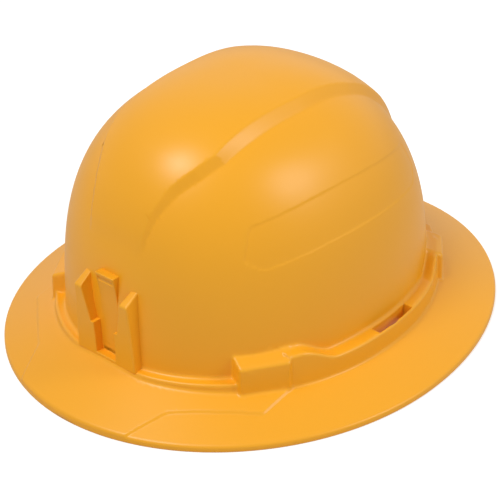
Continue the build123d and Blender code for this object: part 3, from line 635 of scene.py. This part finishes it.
@dataclass(frozen=True)
class MouldedPlastic:
    """Moulded plastic or rubber with a fine skin texture.

    Attributes:
        name: The material's name.
        colour: Linear base colour.
        roughness: Mean roughness of the surface.
        texture: Depth of the skin texture in metres.
        grain: Grains of the texture per metre.
        specular: Level of the reflection at its skin.
        shade: How far its colour varies.
        wear: How far its roughness varies.
    """

    name: str
    colour: Colour
    roughness: float = 0.42
    texture: float = 0.00002
    grain: float = 1500.0
    specular: float = 0.45
    shade: float = 0.02
    wear: float = 0.03

    def build(self) -> bpy.types.Material:
        """Return the material."""
        wiring = Wiring(self.name)
        wiring.tint(self.colour, self.shade, wiring.noise(9.0, 4.0))
        dull = wiring.ramp(wiring.noise(40.0, 3.0), self.roughness - self.wear, self.roughness + self.wear)
        wiring.link(dull, wiring.shader.inputs["Roughness"])
        wiring.relief(wiring.noise(self.grain, 2.0), self.texture)
        wiring.level("Specular IOR Level", self.specular)
        return wiring.material


@dataclass(frozen=True)
class WovenCloth:
    """Woven or knitted cloth that follows the piece's own along and across coordinates.

    Attributes:
        name: The material's name.
        colour: Linear base colour.
        thread: Width of a thread in metres.
        depth: Depth of the weave in metres.
        sheen: Weight of the fibres' sheen.
    """

    name: str
    colour: Colour
    thread: float
    depth: float
    sheen: float = 0.35

    def build(self) -> bpy.types.Material:
        """Return the material."""
        wiring = Wiring(self.name)
        warp = wiring.wave("across", 2 * self.thread)
        weft = wiring.wave("along", 2 * self.thread)
        height = wiring.ramp(wiring.product(warp, weft), 0.0, 1.0, -1.0)
        # painted light and shade: the colour follows the weave's height, lighter on the thread tops and darker in the
        # hollows between them
        wiring.tint(self.colour, 0.45, height)
        wiring.relief(height, self.depth)
        wiring.level("Roughness", 0.85)
        wiring.level("Specular IOR Level", 0.25)
        wiring.level("Sheen Weight", self.sheen)
        wiring.level("Sheen Roughness", 0.5)
        return wiring.material


@dataclass(frozen=True)
class TwistedThread:
    """Sewing thread with a twist along each stitch."""

    name: str
    colour: Colour

    def build(self) -> bpy.types.Material:
        """Return the material."""
        wiring = Wiring(self.name)
        twist = wiring.ramp(wiring.wave("along", 0.0009), 0.0, 1.0, -1.0)
        # painted light and shade: the colour follows the twist, lighter on its ridges and darker in its grooves
        wiring.tint(self.colour, 0.25, twist)
        wiring.relief(twist, 0.00005)
        wiring.level("Roughness", 0.6)
        return wiring.material


@dataclass(frozen=True)
class PlatedSteel:
    """Bright zinc plated steel with fine turning marks."""

    name: str
    colour: Colour

    def build(self) -> bpy.types.Material:
        """Return the material."""
        wiring = Wiring(self.name)
        wiring.tint(self.colour, 0.08, wiring.noise(600.0, 3.0))
        wiring.link(wiring.ramp(wiring.noise(900.0, 2.0), 0.24, 0.4), wiring.shader.inputs["Roughness"])
        wiring.relief(wiring.noise(4000.0, 1.0), 0.00001)
        wiring.level("Metallic", 1.0)
        return wiring.material


def dress(piece: bpy.types.Object, *materials: bpy.types.Material) -> None:
    """Give a piece its materials."""
    piece.data.materials.clear()
    for material in materials:
        piece.data.materials.append(material)


class Cloth:
    """Gathers one soft piece's faces, with their place in the weave and their material."""

    def __init__(self) -> None:
        """Start empty."""
        self.points: list[tuple[float, float, float]] = []
        self.weave: list[tuple[float, float]] = []
        self.faces: list[tuple[int, ...]] = []
        self.kinds: list[int] = []

    def grid(self, points: Array, weave: Array, kind: int, closed: bool = False) -> None:
        """Add a grid of points; closed joins its last column to its first.

        Args:
            points: Rows by columns by three coordinates, in millimetres.
            weave: Rows by columns by the place along and across, in millimetres.
            kind: Number of the material.
            closed: Whether each row is a ring.
        """
        rows, columns = points.shape[:2]
        start = len(self.points)
        self.points.extend(map(tuple, points.reshape(-1, 3)))
        self.weave.extend(map(tuple, weave.reshape(-1, 2)))
        for row in range(rows - 1):
            for column in range(columns if closed else columns - 1):
                beside = (column + 1) % columns
                here, above = start + row * columns, start + (row + 1) * columns
                self.faces.append((here + column, here + beside, above + beside, above + column))
                self.kinds.append(kind)

    def cap(self, ring: int, first: int, kind: int, flip: bool) -> None:
        """Close the end of a tube by the ring of points that starts at first."""
        face = range(first, first + ring)
        self.faces.append(tuple(reversed(face)) if flip else tuple(face))
        self.kinds.append(kind)

    def tube(self, line: Array, ups: Array, radius: float, kind: int, sides: int = 6, ends: float = 0.0) -> None:
        """Add a round thread or piping along a line; ends is how far its tips shrink."""
        ahead = np.gradient(line, axis=0)
        ahead /= np.linalg.norm(ahead, axis=1)[:, None]
        across = np.cross(ahead, ups)
        across /= np.linalg.norm(across, axis=1)[:, None]
        turns = np.arange(sides) * 2 * math.pi / sides
        reach = np.full(len(line), radius)
        reach[[0, -1]] *= 1 - ends
        ring = across[:, None] * np.cos(turns)[None, :, None] + ups[:, None] * np.sin(turns)[None, :, None]
        points = line[:, None] + ring * reach[:, None, None]
        steps = np.concatenate([[0], np.cumsum(np.linalg.norm(np.diff(line, axis=0), axis=1))])
        weave = np.stack(np.broadcast_arrays(steps[:, None], (turns * radius)[None, :]), axis=2)
        first = len(self.points)
        self.grid(points, weave, kind, closed=True)
        self.cap(sides, first, kind, True)
        self.cap(sides, len(self.points) - sides, kind, False)

    def stitches(self, line: Array, ups: Array, kind: int) -> None:
        """Sew along a line: one raised thread for each stitch."""
        steps = np.concatenate([[0], np.cumsum(np.linalg.norm(np.diff(line, axis=0), axis=1))])
        count = max(int(steps[-1] / STITCH_PITCH), 1)
        for number in range(count):
            span = (number + np.linspace(STITCH_GAP, 1 - STITCH_GAP, 4)) * steps[-1] / count
            places = np.stack([np.interp(span, steps, line[:, axis]) for axis in range(3)], axis=1)
            lifts = np.stack([np.interp(span, steps, ups[:, axis]) for axis in range(3)], axis=1)
            lifts /= np.linalg.norm(lifts, axis=1)[:, None]
            arch = np.array([-0.6, 0.35, 0.35, -0.6]) * THREAD_RADIUS
            self.tube(places + lifts * arch[:, None], lifts, THREAD_RADIUS, kind, 5, 0.5)

    def build(self, name: str, body: str, slot: str, materials: Sequence[bpy.types.Material]) -> bpy.types.Object:
        """Return the finished piece, riding on its body."""
        data = bpy.data.meshes.new(name)
        data.from_pydata([tuple(part * MM for part in point) for point in self.points], [], self.faces)
        data.polygons.foreach_set("material_index", self.kinds)
        data.polygons.foreach_set("use_smooth", [True] * len(data.polygons))
        for column, word in enumerate(("along", "across")):
            values = [place[column] * MM for place in self.weave]
            data.attributes.new(word, "FLOAT", "POINT").data.foreach_set("value", values)
        piece = bpy.data.objects.new(name, data)
        bpy.context.scene.collection.objects.link(piece)
        dress(piece, *materials)
        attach(piece, body)
        return piece


class Surface(Protocol):
    """A curved face that a soft piece lies on."""

    def place(self, u: Array, v: Array, depth: Array) -> Array:
        """Return the points at places along and across the face, and a depth off it."""


@dataclass(frozen=True)
class RoundFace:
    """The inside of an upright round wall.

    Attributes:
        radius: Radius of the wall.
        middle_y: Place of its axis.
        middle_z: Height of the piece's middle.
        turn: Direction of the piece's middle, from the rear towards the wearer's left.
    """

    radius: float
    middle_y: float
    middle_z: float
    turn: float

    def place(self, u: Array, v: Array, depth: Array) -> Array:
        """Return the points at places along and across the face, and a depth off it."""
        angle = math.radians(self.turn) + u / self.radius
        reach = self.radius - depth
        return np.stack([reach * np.sin(angle), self.middle_y + reach * np.cos(angle),
                         self.middle_z + v + 0 * u], axis=-1)


@dataclass(frozen=True)
class DomeFace:
    """The inside of a round cap."""

    radius: float
    middle_y: float
    top_z: float

    def place(self, u: Array, v: Array, depth: Array) -> Array:
        """Return the points at places along and across the face, and a depth off it."""
        up = np.sqrt(self.radius ** 2 - u ** 2 - v ** 2)
        share = (self.radius - depth) / self.radius
        return np.stack([u * share, self.middle_y + v * share, self.top_z - self.radius + up * share], axis=-1)


@dataclass(frozen=True)
class Pad:
    """A padded piece of rounded outline: knit over foam, bound and quilted.

    Attributes:
        face: The face that it lies on.
        half_length: Half its size along.
        half_width: Half its size across.
        corner: Radius of its corners.
        wall: Thickness of the full pad.
        channels: Places along of its sewn channels.
        rows: Places across of its sewn channels.
    """

    face: Surface
    half_length: float
    half_width: float
    corner: float
    wall: float
    channels: tuple[float, ...] = ()
    rows: tuple[float, ...] = ()
    edge: float = 4.0
    seam: float = 0.35
    groove: float = 0.5
    groove_width: float = 1.5
    binding: float = 0.8
    margin: float = 3.6

    def edge_distance(self, u: Array, v: Array) -> Array:
        """Return how far inside the outline a place lies."""
        across = np.abs(u) - self.half_length + self.corner
        ahead = np.abs(v) - self.half_width + self.corner
        outer = np.hypot(np.maximum(across, 0), np.maximum(ahead, 0))
        return self.corner - outer - np.minimum(np.maximum(across, ahead), 0)

    def spread(self, u: Array, v: Array) -> tuple[Array, Array]:
        """Return a rectangle's places, drawn in to the rounded outline."""
        across = np.maximum(np.abs(u) - self.half_length + self.corner, 0)
        ahead = np.maximum(np.abs(v) - self.half_width + self.corner, 0)
        longest = np.maximum(across, ahead)
        share = longest / np.maximum(np.hypot(across, ahead), 1e-6)
        share = np.where(longest > 0, share, 1.0)
        return (np.sign(u) * (np.abs(u) - across + across * share),
                np.sign(v) * (np.abs(v) - ahead + ahead * share))

    def fullness(self, u: Array, v: Array) -> Array:
        """Return the pad's swell at a place, from 0 at its outline to 1."""
        share = np.clip(self.edge_distance(u, v) / self.edge, 0, 1)
        swell = np.sqrt(1 - (1 - share) ** 2)
        dents = [np.exp(-((u - place) / self.groove_width) ** 2) for place in self.channels]
        dents += [np.exp(-((v - place) / self.groove_width) ** 2) for place in self.rows]
        for dent in dents:
            swell = swell * (1 - self.groove * dent)
        return swell

    def front(self, u: Array, v: Array) -> Array:
        """Return the depth of the pad's front at a place."""
        return self.wall * (self.seam + (1 - self.seam) * self.fullness(u, v))

    def seam_line(self, line_u: Array, line_v: Array) -> tuple[Array, Array]:
        """Return a line on the front with the directions off it."""
        depth = self.front(line_u, line_v)
        line = self.face.place(line_u, line_v, depth)
        off = self.face.place(line_u, line_v, depth + 1.0) - line
        return line, off

    def outline(self, inset: float) -> tuple[Array, Array]:
        """Return the places along the outline, drawn in by the inset."""
        corner = max(self.corner - inset, 1.0)
        across, ahead = self.half_length - inset - corner, self.half_width - inset - corner
        turns = np.linspace(0, math.pi / 2, 9)
        u, v = [], []
        for quarter, (side, end) in enumerate(((1, 1), (-1, 1), (-1, -1), (1, -1))):
            u.extend(side * across + corner * np.cos(turns + quarter * math.pi / 2))
            v.extend(end * ahead + corner * np.sin(turns + quarter * math.pi / 2))
        u.append(u[0])
        v.append(v[0])
        steps = np.concatenate([[0], np.cumsum(np.hypot(np.diff(u), np.diff(v)))])
        fine = np.linspace(0, steps[-1], max(int(steps[-1] / 1.5), 24))
        return np.interp(fine, steps, u), np.interp(fine, steps, v)

    def build(self, name: str, body: str, node: str, materials: Sequence[bpy.types.Material]) -> bpy.types.Object:
        """Return the pad in place of its CAD node."""
        cloth = Cloth()
        columns = max(int(self.half_length * 2 / PAD_CELL), 24)
        rows = max(int(self.half_width * 2 / PAD_CELL), 24)
        flat_u = self.half_length * np.sin(np.linspace(-1, 1, columns) * math.pi / 2)
        even_u = self.half_length * np.linspace(-1, 1, columns)
        flat_v = self.half_width * np.sin(np.linspace(-1, 1, rows) * math.pi / 2)
        line_u = flat_u if columns < 60 else even_u
        v, u = np.meshgrid(flat_v, line_u, indexing="ij")
        u, v = self.spread(u, v)
        weave = np.stack([u, v], axis=-1)
        back = self.wall * self.seam * (1 - self.fullness(u, v) ** 2)
        cloth.grid(self.face.place(u, v, self.front(u, v)), weave, 0)
        cloth.grid(self.face.place(u, v, np.minimum(back, self.wall * self.seam))[:, ::-1], weave[:, ::-1], 0)
        rim_u, rim_v = self.outline(0.2)
        rim = self.face.place(rim_u, rim_v, np.full_like(rim_u, self.wall * self.seam))
        deeper = self.face.place(rim_u, rim_v, np.full_like(rim_u, self.wall * self.seam + 1)) - rim
        cloth.tube(rim, deeper, self.binding, 1, 8)
        sewn = [self.outline(self.margin)]
        inner = self.margin + 1.0
        sewn += [(np.full(20, place), np.linspace(inner, -inner, 20) * (self.half_width / inner - 1))
                 for place in self.channels]
        sewn += [(np.linspace(-1, 1, 60) * (self.half_length - inner), np.full(60, place)) for place in self.rows]
        for stitched_u, stitched_v in sewn:
            cloth.stitches(*self.seam_line(stitched_u, stitched_v), 2)
        piece = cloth.build(name, body, "pad_fabric", materials)
        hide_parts(node)
        return piece


@dataclass(frozen=True)
class SuspensionForm:
    """Sizes of the suspension, as the CAD parts have them."""

    shell: ShellForm
    band_radius: float = 85.0
    headband_wall: float = 1.8
    front_y: float = -27.0
    rear_y: float = 4.0
    key_half: float = 10.0
    key_gap: float = 0.3
    post_wall: float = 2.6
    post_top: float = 33.6
    strap_half: float = 10.0
    strap_wall: float = 1.4
    strap_apex_z: float = 124.0
    strap_rise: float = 3.4
    strap_power: float = 2.3
    hem_length: float = 18.0
    hem_wall: float = 1.1
    pad_half: float = 24.0
    pad_corner: float = 9.0
    pad_wall: float = 5.0
    pad_drop: float = 5.0
    pad_gap: float = 0.3
    sweat_wall: float = 3.6
    sweat_foot_z: float = 7.5
    sweat_head_z: float = 34.0
    sweat_turn: float = 76.0
    nape_radius: float = 75.95
    nape_half_length: float = 24.0
    nape_half_width: float = 14.0
    nape_z: float = 22.0

    def strap_foot(self, turn: float, middle_y: float) -> Vector:
        """Return the plan place where a crown strap stands over its key on the wearer's left."""
        place_x, place_y, out_x, out_y = self.shell.socket_frame(turn)
        across, along = place_x, place_y - middle_y
        radius = self.band_radius + self.headband_wall
        half = across * out_x + along * out_y
        distance = half - math.sqrt(half ** 2 - (across ** 2 + along ** 2 - radius ** 2))
        band_x, band_y = (across - out_x * distance) / radius, (along - out_y * distance) / radius
        reach = distance - abs(band_x * out_y - band_y * out_x) * self.key_half - self.key_gap
        inward = reach - self.post_wall / 2
        return Vector((place_x - out_x * inward, place_y - out_y * inward, 0))


class CrownStraps:
    """The two crossing webbing straps over the head, with their sewn ends."""

    def __init__(self, form: SuspensionForm, materials: Sequence[bpy.types.Material]) -> None:
        """Keep the sizes and the cloths."""
        self.form = form
        self.materials = materials

    def arch(self, side: Side, rise: float) -> tuple[Array, Array, Vector]:
        """Return a strap's centre line from front to rear, the directions off it, and its sideways direction."""
        form = self.form
        front_turn, rear_turn = form.shell.socket_turns
        front = form.strap_foot(front_turn, form.front_y)
        rear = form.strap_foot(rear_turn, form.rear_y)
        front.x, rear.x = front.x * side.value, -rear.x * side.value
        middle, run = (front + rear) / 2, (front - rear) / 2
        turns = np.linspace(0, math.pi, 1201)
        share = 2 / form.strap_power
        height = form.strap_apex_z + rise - form.post_top + form.strap_wall / 2
        ahead = np.sign(np.cos(turns)) * np.abs(np.cos(turns)) ** share
        up = np.sin(turns) ** share * height
        steps = np.concatenate([[0], np.cumsum(np.hypot(np.diff(ahead * run.length), np.diff(up)))])
        fine = np.linspace(0, steps[-1], int(steps[-1] / STRAP_CELL))
        ahead, up = np.interp(fine, steps, ahead), np.interp(fine, steps, up)
        line = np.stack([middle.x + run.x * ahead, middle.y + run.y * ahead, form.post_top + up], axis=1)
        sideways = Vector((run.y, -run.x, 0)).normalized()
        off = np.cross(np.gradient(line, axis=0), np.array(sideways))
        off /= np.linalg.norm(off, axis=1)[:, None]
        if off[len(off) // 2][2] < 0:
            off = -off
        return line, off, sideways

    def ribbon(self, cloth: Cloth, line: Array, off: Array, sideways: Vector, wall: float) -> None:
        """Add a ribbon with rounded edges along a line."""
        half, side = self.form.strap_half, np.array(sideways)
        low = np.linspace(-half + wall / 2, half - wall / 2, 13)
        turns = np.linspace(-math.pi / 2, math.pi / 2, 5)[1:-1]
        across = np.concatenate([low, half - wall / 2 + wall / 2 * np.cos(turns), low[::-1],
                                 -half + wall / 2 - wall / 2 * np.cos(turns)])
        deep = np.concatenate([np.full(13, -wall / 2), wall / 2 * np.sin(turns), np.full(13, wall / 2),
                               -wall / 2 * np.sin(turns)])
        steps = np.concatenate([[0], np.cumsum(np.linalg.norm(np.diff(line, axis=0), axis=1))])
        points = line[:, None] + side[None, None] * across[None, :, None] + off[:, None] * deep[None, :, None]
        weave = np.stack(np.broadcast_arrays(steps[:, None], across[None, :]), axis=2)
        first = len(cloth.points)
        cloth.grid(points, weave, 0, closed=True)
        cloth.cap(len(across), first, 0, True)
        cloth.cap(len(across), len(cloth.points) - len(across), 0, False)

    def sew(self, cloth: Cloth, line: Array, off: Array, sideways: Vector, lift: float) -> None:
        """Sew a box with a cross over a strap's end."""
        side = np.array(sideways) * (self.form.strap_half - 2.4)
        surface = line + off * lift
        first, last = surface[2], surface[-3]
        corners = [first - side, first + side, last + side, last - side]
        for start, end in ((0, 1), (1, 2), (2, 3), (3, 0), (0, 2), (1, 3)):
            path = corners[start] + (corners[end] - corners[start]) * np.linspace(0, 1, 12)[:, None]
            ups = np.repeat(off[len(off) // 2][None] * math.copysign(1, lift), 12, axis=0)
            cloth.stitches(path, ups, 1)

    def build(self) -> list[bpy.types.Object]:
        """Return both straps in place of their CAD nodes."""
        form, pieces = self.form, []
        for side, rise, node in ((Side.LEFT, 0.0, "crown_strap_lower"),
                                 (Side.RIGHT, form.strap_rise, "crown_strap_upper")):
            line, off, sideways = self.arch(side, rise)
            cloth = Cloth()
            self.ribbon(cloth, line, off, sideways, form.strap_wall)
            count = int(form.hem_length / STRAP_CELL)
            inner = -(form.strap_wall + form.hem_wall) / 2
            for part, way in ((slice(0, count), 1), (slice(len(line) - count, len(line)), -1)):
                hem_line, hem_off = line[part][::way], off[part][::way]
                self.ribbon(cloth, hem_line + hem_off * inner, hem_off, sideways, form.hem_wall)
                self.sew(cloth, hem_line, hem_off, sideways, form.strap_wall / 2)
                self.sew(cloth, hem_line, hem_off, sideways, inner - form.hem_wall / 2)
            piece = cloth.build(f"{node}_webbing", "root", "webbing", self.materials)
            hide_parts(node)
            pieces.append(piece)
        return pieces


class Pads:
    """The crown pad, the sweatband and the nape pad."""

    def __init__(self, form: SuspensionForm, materials: Sequence[bpy.types.Material]) -> None:
        """Keep the sizes and the cloths."""
        self.form = form
        self.materials = materials

    def crown(self) -> Pad:
        """Return the pad under the straps' crossing."""
        form = self.form
        rim = form.pad_half * math.sqrt(2)
        front_turn, rear_turn = form.shell.socket_turns
        middle_y = (form.strap_foot(front_turn, form.front_y).y + form.strap_foot(rear_turn, form.rear_y).y) / 2
        face = DomeFace((rim ** 2 + form.pad_drop ** 2) / (2 * form.pad_drop), middle_y,
                        form.strap_apex_z - form.pad_gap)
        return Pad(face, form.pad_half, form.pad_half, form.pad_corner, form.pad_wall, (-8.0, 8.0), (-8.0, 8.0))

    def sweatband(self) -> Pad:
        """Return the pad inside the front of the headband."""
        form = self.form
        radius = form.band_radius - form.pad_gap
        half = radius * math.radians(form.sweat_turn)
        face = RoundFace(radius, form.front_y, (form.sweat_foot_z + form.sweat_head_z) / 2, 180.0)
        channels = tuple(half * share for share in (-0.8, -0.6, -0.4, -0.2, 0.0, 0.2, 0.4, 0.6, 0.8))
        return Pad(face, half, (form.sweat_head_z - form.sweat_foot_z) / 2, 6.0, form.sweat_wall, channels)

    def nape(self) -> Pad:
        """Return the pad inside the size adjuster."""
        form = self.form
        face = RoundFace(form.nape_radius, form.rear_y, form.nape_z, 0.0)
        return Pad(face, form.nape_half_length, form.nape_half_width, 6.0, 4.0, (-12.0, 0.0, 12.0))

    def build(self) -> list[bpy.types.Object]:
        """Return the three pads in place of their CAD nodes."""
        return [
            self.crown().build("crown_pad_cloth", "root", "crown_pad", self.materials),
            self.sweatband().build("sweatband_cloth", "root", "sweatband", self.materials),
            self.nape().build("nape_pad_cloth", "nape_yoke", "nape_pad", self.materials),
        ]


class Fittings:
    """The rigid pieces that keep their CAD shape: keys, headband, nape straps, adjuster and fasteners."""

    def __init__(self) -> None:
        """Keep each finish with the nodes that have it."""
        self.finishes = (
            (MouldedPlastic("key_black", (0.022, 0.022, 0.024), 0.38, 0.00002, 1800.0),
             ("key_front_left", "key_front_right", "key_rear_left", "key_rear_right")),
            (MouldedPlastic("band_black", (0.03, 0.03, 0.033), 0.48, 0.00003, 2400.0),
             ("headband", "nape_strap_left", "nape_strap_right")),
            (MouldedPlastic("button_grey", (0.07, 0.07, 0.075), 0.35, 0.00001, 1800.0),
             ("pivot_button_left", "pivot_button_right", "pinion", "detent_spring")),
            (MouldedPlastic("adjuster_black", (0.02, 0.02, 0.022), 0.55, 0.00006, 1300.0),
             ("ratchet_housing", "ratchet_cover")),
            (MouldedPlastic("knob_grip", (0.028, 0.028, 0.028), 0.68, 0.00008, 1100.0, 0.3), ("knob",)),
            (PlatedSteel("screw_zinc", (0.62, 0.63, 0.65)), ("cover_screws", "knob_screw")),
        )

    def build(self) -> None:
        """Dress the CAD nodes."""
        for finish, nodes in self.finishes:
            material = finish.build()
            for node in nodes:
                dress(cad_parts[node], material)


class Shell:
    """The moulded shell with its front bracket, and the rooms that hold half of each."""

    room = (0, -171, -3), (144, 171, 170)
    bracket_room = (0, -138, 18), (28, -112, 84)
    ease = 0.02

    def __init__(self, form: ShellForm) -> None:
        """Keep the sizes."""
        self.form = form
        self.bracket = BracketForm(form)
        self.plastic = MouldedPlastic("shell_yellow", (0.93, 0.41, 0.012), 0.37, 0.000012, 1500.0, 0.42)

    def build(self) -> list[bpy.types.Object]:
        """Return the shell's skin and the bracket, in place of the CAD shell."""
        cell = SHELL_CELL
        body = moulded("hat_shell", self.form.distance, *map(Vector, self.room), cell, self.ease)
        bracket = moulded("front_bracket", self.bracket.distance, *map(Vector, self.bracket_room), cell / 2, 0.0)
        material = self.plastic.build()
        for piece in (body, bracket):
            dress(piece, material)
            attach(piece, "root")
        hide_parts("shell")
        return [body, bracket]


@dataclass(frozen=True)
class Lamp:
    """One soft round lamp that faces the hat: its name, place in metres, width and power."""

    name: str
    place: tuple[float, float, float]
    size: float
    power: float
    aim: tuple[float, float, float] = (0.0, 0.0, 0.06)

    def build(self) -> None:
        """Hang the lamp."""
        data = bpy.data.lights.new(self.name, "AREA")
        data.shape = "DISK"
        data.size = self.size
        data.energy = self.power
        lamp = bpy.data.objects.new(self.name, data)
        lamp.location = self.place
        lamp.rotation_mode = "QUATERNION"
        lamp.rotation_quaternion = (Vector(self.aim) - Vector(self.place)).to_track_quat("-Z", "Y")
        bpy.context.scene.collection.objects.link(lamp)


@dataclass(frozen=True)
class Studio:
    """Floor, soft light and the camera at the photograph's angle."""

    azimuth: float = 41.9
    elevation: float = 30.9
    distance: float = 1249.7
    target: tuple[float, float, float] = (1.67, -8.15, 42.96)
    focal_px: float = 2036.1
    image_px: float = 500.0
    floor_sides: int = 96
    floor_half: tuple[float, float] = (6.0, 6.0)
    opening_half: tuple[float, float] = (0.126, 0.148)
    paper_shade: float = 0.7
    paper_glow: float = 0.55
    room_light: float = 0.35
    lamps: tuple[Lamp, ...] = (
        Lamp("key_light", (-0.15, -1.1, 2.1), 0.85, 27.5),
        Lamp("rim_light", (1.7, 0.75, 1.25), 0.8, 13.5),
    )

    def camera(self) -> None:
        """Place the camera."""
        data = bpy.data.cameras.new("camera")
        data.sensor_width = 36.0
        data.lens = data.sensor_width * self.focal_px / self.image_px
        turn, up = math.radians(self.azimuth), math.radians(self.elevation)
        away = Vector((math.sin(turn) * math.cos(up), -math.cos(turn) * math.cos(up), math.sin(up)))
        seen = bpy.data.objects.new("camera", data)
        seen.location = (Vector(self.target) + away * self.distance) * MM
        seen.rotation_mode = "QUATERNION"
        seen.rotation_quaternion = (-away).to_track_quat("-Z", "Y")
        bpy.context.scene.collection.objects.link(seen)
        bpy.context.scene.camera = seen

    def floor(self) -> None:
        """Lay a pale floor that shows near white to the camera, and is open under the hat for views from below."""
        turns = np.linspace(0, 2 * math.pi, self.floor_sides, endpoint=False)
        rings = [(half_x * math.sin(turn), half_y * -math.cos(turn), 0.0)
                 for half_x, half_y in (self.floor_half, self.opening_half) for turn in turns]
        count = self.floor_sides
        faces = [(side, (side + 1) % count, count + (side + 1) % count, count + side) for side in range(count)]
        data = bpy.data.meshes.new("floor")
        data.from_pydata(rings, [], faces)
        plane = bpy.data.objects.new("floor", data)
        bpy.context.scene.collection.objects.link(plane)
        wiring = Wiring("floor_paper")
        wiring.shader.inputs["Base Color"].default_value = (*[self.paper_shade] * 3, 1)
        wiring.level("Roughness", 0.9)
        wiring.level("Specular IOR Level", 0.1)
        path = wiring.node("ShaderNodeLightPath").outputs["Is Camera Ray"]
        wiring.link(wiring.ramp(path, 0.0, self.paper_glow), wiring.shader.inputs["Emission Strength"])
        wiring.shader.inputs["Emission Color"].default_value = (1, 1, 1, 1)
        behind = wiring.node("ShaderNodeNewGeometry").outputs["Backfacing"]
        clear = wiring.node("ShaderNodeBsdfTransparent").outputs[0]
        mix = wiring.node("ShaderNodeMixShader")
        wiring.link(behind, mix.inputs[0])
        wiring.link(wiring.shader.outputs[0], mix.inputs[1])
        wiring.link(clear, mix.inputs[2])
        wiring.link(mix.outputs[0], wiring.material.node_tree.nodes["Material Output"].inputs["Surface"])
        data.materials.append(wiring.material)

    def world(self) -> None:
        """Light the room evenly, and show white to the camera and to reflections."""
        world = bpy.data.worlds.new("room")
        bpy.context.scene.world = world
        world.use_nodes = True
        nodes, links = world.node_tree.nodes, world.node_tree.links
        back = nodes["Background"]
        path = nodes.new("ShaderNodeLightPath")
        seen = path.outputs["Is Camera Ray"]
        for kind in ("Is Glossy Ray", "Is Transmission Ray"):
            either = nodes.new("ShaderNodeMath")
            either.operation = "MAXIMUM"
            links.new(seen, either.inputs[0])
            links.new(path.outputs[kind], either.inputs[1])
            seen = either.outputs[0]
        level = nodes.new("ShaderNodeMapRange")
        level.inputs["To Min"].default_value = self.room_light
        level.inputs["To Max"].default_value = 1.0
        links.new(seen, level.inputs["Value"])
        links.new(level.outputs["Result"], back.inputs["Strength"])
        back.inputs["Color"].default_value = (1, 1, 1, 1)

    def build(self) -> None:
        """Set the stage."""
        self.camera()
        self.floor()
        self.world()
        for lamp in self.lamps:
            lamp.build()
        bpy.context.scene.view_settings.view_transform = "Standard"


def main() -> None:
    """Build every part of the hat and its stage."""
    logging.basicConfig(level=logging.INFO, format="%(message)s")
    Studio().build()
    form = ShellForm()
    suspension = SuspensionForm(form)
    webbing = WovenCloth("webbing_black", (0.028, 0.028, 0.031), 0.0009, 0.00025).build()
    knit = WovenCloth("pad_knit", (0.035, 0.035, 0.038), 0.00055, 0.00014, 0.5).build()
    binding = WovenCloth("pad_binding", (0.02, 0.02, 0.022), 0.0006, 0.00012).build()
    thread = TwistedThread("thread_grey", (0.09, 0.09, 0.095)).build()
    pieces = Shell(form).build()
    pieces += CrownStraps(suspension, (webbing, thread)).build()
    pieces += Pads(suspension, (knit, binding, thread)).build()
    Fittings().build()
    log.info("%d pieces made", len(pieces))


if __name__ == "__main__":
    main()
